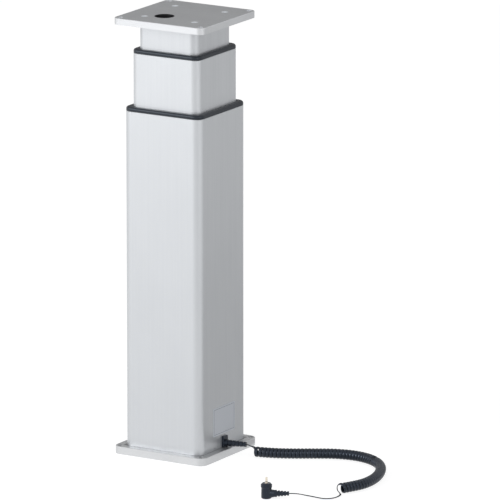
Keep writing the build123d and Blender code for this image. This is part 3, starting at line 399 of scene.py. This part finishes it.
start_points = [
    boot_tip,
    boot_tip + boot_run * boot_heading,
    helix_points[0] - coil_start_run * coil_start_heading,
]
end_points = [
    Vector((403.5 * mm, -136.0 * mm, wire_floor)),
    Vector((405.5 * mm, -152.0 * mm, wire_floor)),
    Vector((402.0 * mm, -165.5 * mm, wire_floor)),
    Vector((391.5 * mm, -173.5 * mm, wire_floor)),
    Vector((379.0 * mm, -173.0 * mm, wire_floor)),
    Vector((366.0 * mm, -171.0 * mm, wire_floor)),
    Vector((354.5, -174.5, 3.2)) * mm,
    Vector((348.0, -180.5, 5.6)) * mm,
    jack_tip + jack_run * jack_heading,
    jack_tip,
]
lead_points = points_on_spline(start_points + helix_points + end_points, steps=3)
lead_length = length_of(lead_points)
print("cord is", round(lead_length, 3), "m long")


def section_at(point):
    """Which way the flat side faces, and how large the section is, at this point on the line."""
    distances = [(place - point).length_squared for place in axis_points[:-1]]
    nearest = distances.index(min(distances))
    heading = (axis_points[nearest + 1] - axis_points[nearest]).normalized()
    offset = point - axis_points[nearest]
    past_end = offset.dot(heading)
    outward = (offset - past_end * heading).normalized()
    level = up if offset.z > 0 else -up
    past = soft_step(0, leaving_length, abs(past_end))
    before_end = (axis_points[-1] - point).dot(end_heading)
    freed = 1 - soft_step(0, freeing_length, before_end)
    side = outward.lerp(turned_side, freed * (1 - past)).lerp(level, past)
    return side.normalized(), 1 + (straight_share - 1) * max(freed, past)


# %% [markdown]
# The cord and both its plugs have one skin, a soft black plastic with a cool gloss. A fine grain
# breaks up the gloss, and a wide bloom makes some stretches a little paler than others.

# %% Soft black skin of the cord and its plugs
lead_rubber, tree, shader = new_finish(
    "lead_rubber",
    (0.006, 0.008, 0.014),
    0.22,
    specular_ior_level=0.50,
    specular_tint=(0.68, 0.80, 1.0, 1.0),
)
grain = cloud(tree, 0.6 * mm, detail=4)
bloom = cloud(tree, 9 * mm, detail=3)
vary(tree, shader, bloom, ((0.004, 0.006, 0.011), (0.009, 0.012, 0.020)), grain, (0.16, 0.27))
give_relief(tree, shader, grain, 0.02 * mm, 0.4)
print("made", lead_rubber.name)

# %% [markdown]
# A piece that one rule describes is grown by a tree of geometry nodes. The tree is built here, run
# once over a simple mesh, and what comes out is kept as a plain mesh, so nothing is left to work
# out later. Three helpers start a tree, end it and run it.

# %% Grow a piece from a tree of nodes
def new_growth(name, *sizes):
    """An empty tree of geometry nodes that takes geometry, these sizes and a finish."""
    tree = bpy.data.node_groups.new(name, "GeometryNodeTree")
    tree.interface.new_socket("Geometry", in_out="OUTPUT", socket_type="NodeSocketGeometry")
    tree.interface.new_socket("Geometry", in_out="INPUT", socket_type="NodeSocketGeometry")
    for size in sizes:
        tree.interface.new_socket(size, in_out="INPUT", socket_type="NodeSocketFloat")
    tree.interface.new_socket("Finish", in_out="INPUT", socket_type="NodeSocketMaterial")
    return tree, tree.nodes.new("NodeGroupInput").outputs


def end_growth(tree, geometry, finish):
    """End a tree with plain geometry in one finish."""
    plain = add_node(tree, "GeometryNodeRealizeInstances", {"Geometry": geometry}).outputs[0]
    dressed = add_node(tree, "GeometryNodeSetMaterial", {"Geometry": plain, "Material": finish})
    tree.links.new(dressed.outputs[0], tree.nodes.new("NodeGroupOutput").inputs[0])


def grow(name, tree, seed, **values):
    """Run a mesh through a tree and keep what comes out as a plain mesh object."""
    piece = bpy.data.objects.new(name, seed)
    scene.collection.objects.link(piece)
    modifier = piece.modifiers.new(name, "NODES")
    modifier.node_group = tree
    for item in tree.interface.items_tree:
        if item.in_out == "INPUT" and item.name in values:
            modifier[item.identifier] = values[item.name]
    bpy.context.view_layer.update()
    graph = bpy.context.evaluated_depsgraph_get()
    grown = bpy.data.meshes.new_from_object(piece.evaluated_get(graph))
    piece.modifiers.clear()
    piece.data = grown
    return piece


print("ready to grow pieces")

# %% [markdown]
# The lead's tree sweeps an oval along the line. Each point on the line carries two attributes: the
# way its flat side faces, and its share of the full size. The tree reads both by name.

# %% Sweep the flat cord along its line
sweep, inputs = new_growth("flat_cord", "Width", "Thickness")
line = add_node(sweep, "GeometryNodeMeshToCurve", {"Mesh": inputs["Geometry"]}).outputs[0]
flat_side = add_node(
    sweep, "GeometryNodeInputNamedAttribute", {"Name": "flat_side"}, data_type="FLOAT_VECTOR"
).outputs[0]
turned_line = add_node(
    sweep, "GeometryNodeSetCurveNormal", {"Curve": line, "Normal": flat_side}, mode="FREE"
).outputs[0]
circle = add_node(sweep, "GeometryNodeCurvePrimitiveCircle", {"Resolution": 12, "Radius": 0.5})
squeeze = add_node(
    sweep, "ShaderNodeCombineXYZ", {0: inputs["Thickness"], 1: inputs["Width"], 2: 1.0}
).outputs[0]
oval_sockets = {"Geometry": circle.outputs[0], "Scale": squeeze}
oval = add_node(sweep, "GeometryNodeTransform", oval_sockets).outputs[0]
fullness = add_node(
    sweep, "GeometryNodeInputNamedAttribute", {"Name": "fullness"}, data_type="FLOAT"
).outputs[0]
cord_skin = add_node(
    sweep,
    "GeometryNodeCurveToMesh",
    {"Curve": turned_line, "Profile Curve": oval, "Scale": fullness, "Fill Caps": True},
).outputs[0]
smooth_cord = add_node(sweep, "GeometryNodeSetShadeSmooth", {"Geometry": cord_skin}).outputs[0]
end_growth(sweep, smooth_cord, inputs["Finish"])

line_mesh = bpy.data.meshes.new("lead_line")
steps_on_line = [(count, count + 1) for count in range(len(lead_points) - 1)]
line_mesh.from_pydata(lead_points, steps_on_line, [])
line_mesh.attributes.new("flat_side", "FLOAT_VECTOR", "POINT")
line_mesh.attributes.new("fullness", "FLOAT", "POINT")
for count, point in enumerate(lead_points):
    side, share = section_at(point)
    line_mesh.attributes["flat_side"].data[count].vector = side
    line_mesh.attributes["fullness"].data[count].value = share
curly_lead = grow(
    "curly_lead", sweep, line_mesh, Width=band_width, Thickness=band_thickness, Finish=lead_rubber
)
print("curly lead has", len(curly_lead.data.polygons), "faces")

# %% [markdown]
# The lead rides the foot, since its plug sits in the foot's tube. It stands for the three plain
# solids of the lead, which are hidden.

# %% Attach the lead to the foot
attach(curly_lead, "foot")
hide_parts("lead_start", "lead_coil", "lead_end")
print("handed over a cord that leaves at", [round(part, 3) for part in boot_tip])

# %% [markdown]
# ## Anodised tube
# The tubes are drawn through a die, which leaves fine lines along their whole length, and then
# etched and anodised, which turns the shine to satin. The lines are noise stretched a hundredfold
# along the tube. They vary the gloss and press a shallow relief, and a wide cloud varies the tone,
# because anodising never takes quite evenly. The inner tube is painted a shade darker, as painted
# shade for the shadow of the top plate above it.

# %% Satin tube
def tube_finish(name, light, dark, roughness):
    """Satin anodised metal with fine lines along Z."""
    material, tree, shader = new_finish(name, light, roughness, metallic=tube_metal)
    lines = cloud(tree, 0.5 * mm, (1, 1, 120), detail=2)
    streaks = cloud(tree, 5 * mm, (1, 1, 60), detail=3)
    clouds = cloud(tree, 70 * mm, (1, 1, 2), detail=2)
    tone = calculate(tree, "MULTIPLY_ADD", streaks, 0.45, calculate(tree, "MULTIPLY", clouds, 0.4))
    gloss = calculate(tree, "MULTIPLY_ADD", lines, 0.5, calculate(tree, "MULTIPLY", streaks, 0.5))
    vary(tree, shader, tone, (light, dark), gloss, (roughness - 0.05, roughness + 0.06))
    give_relief(tree, shader, lines, 0.004 * mm, 0.5)
    return material


tube_metal = 0.75
tube_aluminium = tube_finish("tube_aluminium", (0.610, 0.628, 0.650), (0.570, 0.588, 0.612), 0.38)
# Painted shade: the inner tube's colours are darker for the top plate's shadow on it
shaded_inner_aluminium = tube_finish("shaded_inner_aluminium", (0.590, 0.607, 0.628), (0.552, 0.568, 0.592), 0.38)
dress(tube_aluminium, "outer_tube", "middle_tube")
dress(shaded_inner_aluminium, "inner_tube")
print("dressed the tubes in", tube_aluminium.name, "and", shaded_inner_aluminium.name)

# %% [markdown]
# ## Plates
# The foot and top plates are sawn from rolled bar and then milled, so their flat faces are smoother
# than the tubes and carry a faint long grain. The grain is noise stretched along X, a finer noise
# stands for the cutter's marks, and both go into the gloss and the relief. Each plate has its own
# tone, since they are cut from different batches of metal.

# %% Rolled and milled plate
def plate_finish(name, light, dark, roughness):
    """Milled metal with a long grain."""
    material, tree, shader = new_finish(name, light, roughness, metallic=plate_metal)
    lines = cloud(tree, 0.7 * mm, (60, 1, 1), detail=3)
    marks = cloud(tree, 3 * mm, detail=5)
    clouds = cloud(tree, 50 * mm, (2, 1, 1), detail=2)
    tone = calculate(tree, "MULTIPLY_ADD", marks, 0.3, calculate(tree, "MULTIPLY", clouds, 0.5))
    gloss = calculate(tree, "MULTIPLY_ADD", lines, 0.5, calculate(tree, "MULTIPLY", marks, 0.5))
    vary(tree, shader, tone, (light, dark), gloss, (roughness - 0.06, roughness + 0.07))
    give_relief(tree, shader, gloss, 0.006 * mm, 0.5)
    return material


plate_metal = 0.8
top_aluminium = plate_finish(
    "top_plate_aluminium", (0.650, 0.662, 0.680), (0.590, 0.602, 0.620), 0.36
)
foot_aluminium = plate_finish(
    "foot_plate_aluminium", (0.640, 0.648, 0.660), (0.580, 0.590, 0.604), 0.40
)
machined_aluminium = plate_finish(
    "machined_aluminium", (0.72, 0.73, 0.74), (0.64, 0.65, 0.66), 0.30
)
dress(top_aluminium, "top_plate")
dress(foot_aluminium, "base_plate")
dress(machined_aluminium, "middle_carrier", "inner_carrier")
print("dressed the plates and carriers")

# %% [markdown]
# Both plates also have places that look different from the rest. In the top plate the cable's hole
# is painted black, as painted shade deep in the hole, and the bolt holes are painted near white,
# as painted light seen through them. The foot plate's upper face is painted darker than its milled
# edge, as painted shade, and a dark line of painted shadow lies where the tube meets it. Each place
# is a share of 0 to 1 worked out from where a point lies, and another colour is laid over it. In
# the bores the metal's mirroring goes too. The holes' places and sizes are those of the solids, a
# little larger so that the bores are inside.

# %% Painted bores, shaded upper face and painted contact shadow
cable_hole = (-21.5 * mm, -33.5 * mm)
cable_bore_radius = 17.9 * mm
bolt_hole = (83.0 * mm, 83.0 * mm)
bolt_bore_radius = 4.7 * mm
foot_top = 14.0 * mm
tube_half = 80.0 * mm


def lay_over(material, share, colour):
    """Lay another colour over a finish wherever the share is 1."""
    tree = material.node_tree
    base = tree.nodes["Principled BSDF"].inputs["Base Color"]
    below = base.links[0].from_socket
    tree.links.new(mix_colours(tree, share, below, colour), base)


def round_a_hole(tree, hole, radius, mirrored):
    """1 within this radius of an upright hole's axis; mirrored holes stand in all four corners."""
    squares = []
    for along, middle in zip(place_by_axis(tree), hole):
        if mirrored:
            along = calculate(tree, "ABSOLUTE", along)
        off_axis = calculate(tree, "SUBTRACT", along, middle)
        squares.append(calculate(tree, "MULTIPLY", off_axis, off_axis))
    return calculate(tree, "LESS_THAN", calculate(tree, "ADD", *squares), radius * radius)


top_tree = top_aluminium.node_tree
# Painted shade: the cable bore's wall is painted black for the shade deep in the hole
cable_bore_painted_shade = round_a_hole(top_tree, cable_hole, cable_bore_radius, mirrored=False)
# Painted light: the bolt bores are painted near white for the light seen through them
bolt_bores_painted_light = round_a_hole(top_tree, bolt_hole, bolt_bore_radius, mirrored=True)
lay_over(top_aluminium, bolt_bores_painted_light, (0.90, 0.92, 0.96))
lay_over(top_aluminium, cable_bore_painted_shade, (0.012, 0.012, 0.014))
painted_bores = calculate(top_tree, "MAXIMUM", cable_bore_painted_shade, bolt_bores_painted_light)
top_shader = top_tree.nodes["Principled BSDF"]
# Both painted bores also lose the metal's mirroring
top_tree.links.new(between(top_tree, painted_bores, plate_metal, 0.0), top_shader.inputs["Metallic"])

foot_tree = foot_aluminium.node_tree
x, y, z = place_by_axis(foot_tree)
# Painted shade: the foot plate's whole upper face is painted darker than its milled edges
shaded_upper_face = calculate(foot_tree, "GREATER_THAN", z, foot_top - 0.3 * mm)
from_x_and_y = [calculate(foot_tree, "ABSOLUTE", axis) for axis in (x, y)]
from_middle = calculate(foot_tree, "MAXIMUM", *from_x_and_y)
from_tube = calculate(foot_tree, "SUBTRACT", from_middle, tube_half)
# Painted shadow: dark where the tube stands on the plate, fading out 0.3 to 2.2 mm from it
fading = {0: from_tube, 1: 0.3 * mm, 2: 2.2 * mm, 3: 1.0, 4: 0.0}
contact_shade = add_node(foot_tree, "ShaderNodeMapRange", fading).outputs[0]
contact_shade_line = calculate(foot_tree, "MULTIPLY", contact_shade, shaded_upper_face)
# Painted shade on the upper face, then the painted shadow along the tube's foot
lay_over(foot_aluminium, shaded_upper_face, (0.460, 0.466, 0.476))
lay_over(foot_aluminium, contact_shade_line, (0.16, 0.16, 0.17))
# The dust line in this text is the painted shadow at the tube's foot
print("laid the bores, the upper face and the dust line over both plates")

# %% [markdown]
# ## Cast metal
# The gearbox and the motor's flange are die castings. The skin of a casting is finely pitted and
# duller than a machined face, so this finish has a rough grain and blotches but no lines.

# %% Die-cast skin
cast_aluminium, tree, shader = new_finish("cast_aluminium", (0.56, 0.57, 0.58), 0.5, metallic=0.8)
pits = cloud(tree, 0.9 * mm, detail=6)
blotches = cloud(tree, 14 * mm, detail=3)
vary(tree, shader, blotches, ((0.60, 0.61, 0.62), (0.50, 0.51, 0.525)), pits, (0.42, 0.60))
give_relief(tree, shader, pits, 0.05 * mm, 0.6)
dress(cast_aluminium, "gearbox_housing", "gearbox_lid", "motor_flange")
print("dressed the castings")

# %% [markdown]
# ## Black and white plastics
# The rings at the mouths of the tubes and the lead's socket are black moulded nylon, faintly blue
# in its gloss, with the fine spark-eroded texture that hides scratches. Voronoi cells give that
# pebbled look better than noise, because each pebble has an edge. The glide pads are acetal, smooth
# and slightly waxy, so light goes a little way into them.

# %% Moulded plastic
def moulded_finish(name, colour, shade, roughness, pebble, depth, **others):
    """Plastic with the pebbled texture of its mould."""
    material, tree, shader = new_finish(name, colour, roughness, **others)
    cells = add_node(
        tree,
        "ShaderNodeTexVoronoi",
        {"Vector": place_on_object(tree), "Scale": 1 / pebble},
        feature="SMOOTH_F1",
    ).outputs[0]
    clouds = cloud(tree, 12 * mm, detail=3)
    vary(tree, shader, clouds, (colour, shade), cells, (roughness - 0.05, roughness + 0.10))
    give_relief(tree, shader, cells, depth, 0.5)
    return material


ring_plastic = moulded_finish(
    "ring_plastic",
    (0.020, 0.023, 0.030),
    (0.014, 0.016, 0.022),
    0.34,
    0.7 * mm,
    0.03 * mm,
    specular_ior_level=0.42,
    specular_tint=(0.78, 0.88, 1.0, 1.0),
)
glide_plastic = moulded_finish(
    "glide_plastic",
    (0.80, 0.79, 0.74),
    (0.74, 0.73, 0.67),
    0.42,
    0.9 * mm,
    0.01 * mm,
    subsurface_weight=0.1,
    subsurface_scale=0.002,
)
gear_plastic = moulded_finish(
    "gear_plastic", (0.84, 0.82, 0.72), (0.78, 0.75, 0.64), 0.38, 1.1 * mm, 0.01 * mm
)
motor_plastic = moulded_finish(
    "motor_plastic", (0.035, 0.035, 0.038), (0.025, 0.025, 0.028), 0.5, 0.6 * mm, 0.05 * mm
)
dress(ring_plastic, "outer_ring", "middle_ring", "inlet_socket")
dress(glide_plastic, "outer_glides", "middle_foot_glides", "middle_top_glides", "inner_foot_glides")
dress(gear_plastic, "screw_gear")
dress(motor_plastic, "motor_cap")
print("dressed the plastics")

# %% [markdown]
# ## Screws, bearings and gears
# Small steel parts are turned, so their marks run in circles round their own axis. These parts
# stand all over the object, and a pattern in circles would need one centre for each. Fine noise
# flattened in Z gives the same short glints on their heads and edges, and it works for all of them
# at once. The zinc on the screws is a little bluish and uneven.

# %% Turned steel
def steel_finish(name, light, dark, roughness, scuff):
    """Bright steel with short scuffs and a faint stain."""
    material, tree, shader = new_finish(name, light, roughness, metallic=1.0)
    scuffs = cloud(tree, scuff, (1, 1, 0.3), detail=5)
    stains = cloud(tree, 6 * mm, detail=3)
    vary(tree, shader, stains, (light, dark), scuffs, (roughness - 0.08, roughness + 0.12))
    give_relief(tree, shader, scuffs, 0.01 * mm, 0.5)
    return material


screw_steel = steel_finish("screw_steel", (0.72, 0.73, 0.75), (0.60, 0.62, 0.66), 0.30, 0.5 * mm)
bearing_steel = steel_finish(
    "bearing_steel", (0.74, 0.74, 0.75), (0.66, 0.66, 0.68), 0.18, 1.5 * mm
)
gear_steel = steel_finish("gear_steel", (0.50, 0.50, 0.51), (0.36, 0.36, 0.38), 0.34, 0.8 * mm)
stop_steel = steel_finish("stop_steel", (0.55, 0.56, 0.58), (0.45, 0.46, 0.48), 0.30, 0.8 * mm)
nut_bronze = steel_finish("nut_bronze", (0.72, 0.50, 0.26), (0.58, 0.38, 0.18), 0.32, 0.9 * mm)
dress(
    screw_steel,
    "foot_screws",
    "gearbox_screws",
    "lid_screws",
    "motor_screws",
    "middle_carrier_screws",
    "lower_nut_screws",
    "inner_carrier_screws",
    "upper_nut_screws",
)

# The four screws in the top plate are painted near white and mirror little, as a painted highlight
# for their bright shine
painted_shine_screws, tree, shader = new_finish("painted_shine_screws", (0.90, 0.94, 1.0), 0.42)
film = cloud(tree, 1.2 * mm, detail=4)
vary(tree, shader, film, ((0.88, 0.93, 0.99), (0.93, 0.96, 1.0)), film, (0.36, 0.50))
give_relief(tree, shader, film, 0.01 * mm, 0.4)
dress(painted_shine_screws, "top_screws")
dress(bearing_steel, "thrust_bearing", "hollow_bearing", "bearing_cover")
dress(gear_steel, "motor_pinion", "intermediate_gear")
dress(stop_steel, "lower_stop", "upper_stop", "board_standoffs")
dress(nut_bronze, "drive_bush", "lower_nut", "upper_nut")
print("dressed the small metal parts")

# %% [markdown]
# Both bearings are plain rings with a groove in the solids. A tree of geometry nodes fills each
# groove with balls: a circle of points, a ball on each, and the whole lifted to its height. The
# sizes in the table are in the order count, radius of the row, radius of a ball and height.

# %% Balls in the two bearings
ball_row, inputs = new_growth("ball_row", "Count", "Row", "Ball", "Height")
row_sockets = {"Vertices": inputs["Count"], "Radius": inputs["Row"]}
row = add_node(ball_row, "GeometryNodeMeshCircle", row_sockets).outputs[0]
ball_sockets = {"Radius": inputs["Ball"], "Subdivisions": 2}
ball = add_node(ball_row, "GeometryNodeMeshIcoSphere", ball_sockets).outputs[0]
placing = {"Points": row, "Instance": ball}
placed = add_node(ball_row, "GeometryNodeInstanceOnPoints", placing).outputs[0]
lift = add_node(ball_row, "ShaderNodeCombineXYZ", {2: inputs["Height"]}).outputs[0]
lifting = {"Geometry": placed, "Translation": lift}
lifted = add_node(ball_row, "GeometryNodeTransform", lifting).outputs[0]
plain_balls = add_node(ball_row, "GeometryNodeRealizeInstances", {"Geometry": lifted}).outputs[0]
smooth_balls = add_node(
    ball_row, "GeometryNodeSetShadeSmooth", {"Geometry": plain_balls}
).outputs[0]
end_growth(ball_row, smooth_balls, inputs["Finish"])

for name, body, count, row_radius, ball_radius, height in (
    ("thrust_balls", "foot", 30.0, 11.5 * mm, 0.95 * mm, 59.0 * mm),
    ("hollow_balls", "middle_stage", 34.0, 24.25 * mm, 1.90 * mm, 234.0 * mm),
):
    balls = grow(
        name,
        ball_row,
        bpy.data.meshes.new(name),
        Count=count,
        Row=row_radius,
        Ball=ball_radius,
        Height=height,
        Finish=bearing_steel,
    )
    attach(balls, body)
    print(name, "has", len(balls.data.polygons), "faces")

# %% [markdown]
# ## Rolled threads
# Both screws carry a trapezoidal thread with two starts that rises 12 mm for each turn. Modelled
# as a shape, those turns would take a hundred thousand faces deep inside the tubes. A helix is also
# a rule: the height over the rise, less the angle round the axis in turns, says how far along the
# thread a point is. The screws stand on the Z axis, so a few sums give that number, and the relief
# follows it.

# %% Threaded spindles
thread_rise = 12 * mm
thread_starts = 2


def spindle_finish(name, light, dark, roughness):
    """Turned steel with a trapezoidal thread about the Z axis, its grooves painted dark as painted
    shade.
    """
    material, tree, shader = new_finish(name, light, roughness, metallic=1.0)
    x, y, z = place_by_axis(tree)
    turn = calculate(tree, "DIVIDE", calculate(tree, "ARCTAN2", y, x), 2 * pi)
    climb = calculate(tree, "DIVIDE", z, thread_rise)
    phase = calculate(tree, "MULTIPLY", calculate(tree, "SUBTRACT", climb, turn), thread_starts)
    wave = calculate(tree, "PINGPONG", phase, 0.5)
    flank_relief_and_shade = add_node(tree, "ShaderNodeMapRange", {0: wave, 1: 0.14, 2: 0.32}).outputs[0]
    scuffs = cloud(tree, 0.8 * mm, (1, 1, 0.3), detail=4)
    # Painted shade: the thread's grooves take the dark colour and its crests the light one
    vary(tree, shader, flank_relief_and_shade, (dark, light), scuffs, (roughness - 0.06, roughness + 0.12))
    give_relief(tree, shader, flank_relief_and_shade, 1.5 * mm)
    return material


spindle_steel = spindle_finish("spindle_steel", (0.62, 0.63, 0.65), (0.22, 0.22, 0.23), 0.26)
dress(spindle_steel, "lower_screw", "hollow_screw")
print("dressed the two screws with a", round(thread_rise / mm), "mm thread")

# %% [markdown]
# ## Motor and control board
# The motor's can is sprayed black over steel, so it has the faint dimples of paint and a soft
# gloss, and the overspray makes it duller in patches.

# %% Motor paint
motor_paint, tree, shader = new_finish("motor_paint", (0.03, 0.03, 0.034), 0.35, coat_weight=0.25)
dimples = cloud(tree, 1.6 * mm, detail=2)
overspray = cloud(tree, 25 * mm, (1, 1, 2), detail=4)
vary(tree, shader, overspray, ((0.026, 0.026, 0.030), (0.05, 0.05, 0.054)), overspray, (0.30, 0.44))
give_relief(tree, shader, dimples, 0.03 * mm, 0.5)
dress(motor_paint, "motor_can")
print("dressed the motor's can")

# %% [markdown]
# The board is green solder mask over copper, and the copper tracks show through as a paler pattern.
# A Brick texture with thin, long bricks makes a fair likeness of such tracks, since both run in
# straight lanes that end at odd places.

# %% Board, relays, terminals and capacitor
board_laminate, tree, shader = new_finish(
    "board_laminate", (0.02, 0.13, 0.06), 0.3, coat_weight=0.4
)
lanes = add_node(
    tree,
    "ShaderNodeMapping",
    {"Vector": place_on_object(tree), "Rotation": (0, radians(90), 0), "Scale": (220, 220, 220)},
).outputs[0]
tracks = add_node(
    tree,
    "ShaderNodeTexBrick",
    {
        "Vector": lanes,
        "Color1": (0.030, 0.20, 0.09, 1),
        "Color2": (0.022, 0.16, 0.07, 1),
        "Mortar": (0.012, 0.10, 0.045, 1),
        "Scale": 1.0,
        "Mortar Size": 0.08,
        "Brick Width": 4.0,
        "Row Height": 0.5,
    },
    offset=0.37,
)
tree.links.new(tracks.outputs[0], shader.inputs["Base Color"])
give_relief(tree, shader, tracks.outputs[1], 0.05 * mm, 0.4)
dress(board_laminate, "control_board")

relay_plastic = moulded_finish(
    "relay_plastic", (0.02, 0.03, 0.045), (0.015, 0.022, 0.035), 0.28, 0.8 * mm, 0.005 * mm
)
terminal_plastic = moulded_finish(
    "terminal_plastic", (0.03, 0.20, 0.09), (0.02, 0.15, 0.07), 0.4, 0.7 * mm, 0.01 * mm
)
dress(relay_plastic, "board_relays")
dress(terminal_plastic, "board_terminals")

# The capacitor wears a shrunk sleeve of dark blue film
capacitor_sleeve, tree, shader = new_finish(
    "capacitor_sleeve", (0.03, 0.04, 0.10), 0.28, coat_weight=0.3
)
shrink = cloud(tree, 3 * mm, (4, 1, 1), detail=3)
vary(tree, shader, shrink, ((0.03, 0.04, 0.10), (0.045, 0.055, 0.13)), shrink, (0.22, 0.36))
give_relief(tree, shader, shrink, 0.05 * mm, 0.4)
dress(capacitor_sleeve, "board_capacitor")
print("dressed the board and what sits on it")

# %% [markdown]
# ## Lead, plugs and pin
# The lead's own finish was made before its sweep, and both plugs and the lead's plain solids wear
# it too. The jack's pin is nickel over brass and keeps a faint warm tone, with a thin black ring
# between its two contacts.

# %% Soft black and plated brass
dress(lead_rubber, "inlet_plug", "jack_body", "lead_start", "lead_coil", "lead_end")

pin_brass = steel_finish("pin_brass", (0.80, 0.74, 0.64), (0.70, 0.63, 0.52), 0.30, 0.6 * mm)
pin_insulator = moulded_finish(
    "pin_insulator", (0.02, 0.02, 0.02), (0.03, 0.03, 0.03), 0.3, 0.5 * mm, 0.005 * mm
)
dress(pin_brass, "jack_sleeve", "jack_tip_pin")
dress(pin_insulator, "jack_insulator")
print("dressed the lead and both its plugs")

# %% [markdown]
# ## Rating label
# The label is a pale polyester film on the right-hand side near the foot. It carries no words here,
# only the thin border that such films are printed with. The border is drawn from the label's own
# corners, which come from its box, so it stays right if the label moves.

# %% Bare label with a printed border
label_low, label_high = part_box("rating_label")
label_film, tree, shader = new_finish("label_film", (0.70, 0.74, 0.80), 0.34, coat_weight=0.2)
place = place_by_axis(tree)
edge_distances = []
for axis in (1, 2):
    middle = (label_low[axis] + label_high[axis]) / 2
    half_side = (label_high[axis] - label_low[axis]) / 2
    from_middle = calculate(tree, "ABSOLUTE", calculate(tree, "SUBTRACT", place[axis], middle))
    edge_distances.append(calculate(tree, "SUBTRACT", half_side, from_middle))
edge_distance = calculate(tree, "MINIMUM", *edge_distances)
border_place = 3.0 * mm
border_half_width = 0.35 * mm
border = calculate(tree, "COMPARE", edge_distance, border_place, border_half_width)
weave = cloud(tree, 0.4 * mm, detail=3)
paper = mix_colours(tree, weave, (0.84, 0.88, 0.94), (0.78, 0.83, 0.91))
vary(tree, shader, border, (paper, (0.25, 0.28, 0.34)), weave, (0.28, 0.42))
give_relief(tree, shader, weave, 0.01 * mm, 0.4)
dress(label_film, "rating_label")
print("still undressed:", sorted(undressed))

# %% [markdown]
# ## Floor and studio
# The floor is a wide pale sheet. Seen by the camera, by gloss or through glass it glows up to
# white, while lamps fall on it as on grey paper, so it is white and yet keeps the shadow under the
# foot. Light Path tells these rays apart from those that carry soft light from face to face, and
# for which the floor is only grey paper.

# %% White floor that keeps its shadow
def seen_directly(tree):
    """1 for rays from the camera, from gloss or through glass, and 0 for rays that carry light."""
    rays = add_node(tree, "ShaderNodeLightPath").outputs
    mirrored = calculate(tree, "MAXIMUM", rays["Is Glossy Ray"], rays["Is Transmission Ray"])
    return calculate(tree, "MAXIMUM", rays["Is Camera Ray"], mirrored)


def flat_sheet(name, width, height):
    """A rectangle round its own middle, facing up."""
    corners = [(-1, -1), (1, -1), (1, 1), (-1, 1)]
    points = [(x * width / 2, y * height / 2, 0) for x, y in corners]
    mesh = bpy.data.meshes.new(name)
    mesh.from_pydata(points, [], [(0, 1, 2, 3)])
    return bpy.data.objects.new(name, mesh)


floor_width = 12.0
floor_glow = 0.86
floor = flat_sheet("floor", floor_width, floor_width)
scene.collection.objects.link(floor)

floor_paper, tree, shader = new_finish(
    "floor_paper", (0.34, 0.34, 0.34), 0.9, specular_ior_level=0.0
)
paper_grain = cloud(tree, 2 * mm, detail=3)
tree.links.new(
    mix_colours(tree, paper_grain, (0.335, 0.335, 0.335), (0.345, 0.345, 0.345)),
    shader.inputs["Base Color"],
)
shader.inputs["Emission Color"].default_value = (1, 1, 1, 1)
glow = calculate(tree, "MULTIPLY", seen_directly(tree), floor_glow)
tree.links.new(glow, shader.inputs["Emission Strength"])
floor.data.materials.append(floor_paper)
print("floor is", floor_width, "m across")

# %% [markdown]
# The world is the white cove of the studio. It shows white wherever it is seen or mirrored, and
# lights the object only softly, so that the lamps give the tubes their form.

# %% White cove
scene.view_settings.view_transform = "Standard"
world = bpy.data.worlds.new("studio")
scene.world = world
world.use_nodes = True
tree = world.node_tree
cove = tree.nodes["Background"]
cove.inputs["Color"].default_value = (1, 1, 1, 1)
soft_fill = 0.42
tree.links.new(between(tree, seen_directly(tree), soft_fill, 1.0), cove.inputs["Strength"])
print("world fill", soft_fill)

# %% [markdown]
# A large soft lamp stands to the front and left and makes the front faces the bright ones. A
# smaller one from the right keeps the other faces from going dull. Grey cards, which a photographer
# calls flags, stand behind the column where its right-hand faces and its top plate mirror them.
# Only gloss sees the cards, so they shade neither the floor nor the view.

# %% Lamps and flags
def aimed(thing, place, target):
    """Put a lamp or card at a place, turned towards a target."""
    thing.location = place
    thing.rotation_mode = "QUATERNION"
    thing.rotation_quaternion = (Vector(place) - Vector(target)).to_track_quat("Z", "Y")
    scene.collection.objects.link(thing)
    return thing


def soft_lamp(name, place, size, power):
    """A rectangular lamp aimed at the middle of the column."""
    lamp = bpy.data.lights.new(name, "AREA")
    lamp.shape = "RECTANGLE"
    lamp.size, lamp.size_y = size
    lamp.energy = power
    return aimed(bpy.data.objects.new(name, lamp), place, (0, 0, 0.4))


def grey_card(name, place, target, size, grey):
    """A flag that only gloss can see."""
    card = aimed(flat_sheet(name, *size), place, target)
    material, _, shader = new_finish(name, (0, 0, 0), 1.0, specular_ior_level=0.0)
    shader.inputs["Emission Color"].default_value = (grey, grey, grey, 1)
    shader.inputs["Emission Strength"].default_value = 1.0
    card.data.materials.append(material)
    card.visible_camera = False
    card.visible_diffuse = False
    card.visible_shadow = False
    card.visible_transmission = False


key_lamp = soft_lamp("key_lamp", (-3.08, -4.2, 2.08), (3.36, 2.8), 139)
fill_lamp = soft_lamp("fill_lamp", (3.0, -1.2, 1.5), (1.6, 1.6), 14)
grey_card("side_flag", (0.95, 1.35, 0.55), (0.08, 0, 0.4), (2.6, 2.4), 0.76)
grey_card("top_flag", (-0.95, 1.45, 1.50), (0, 0, 0.8), (2.6, 1.6), 0.33)
grey_card("floor_flag", (0.60, 0.80, 0.004), (0.60, 0.80, -1), (1.5, 1.5), 0.60)
print("lamps", key_lamp.data.energy, "and", fill_lamp.data.energy, "W")
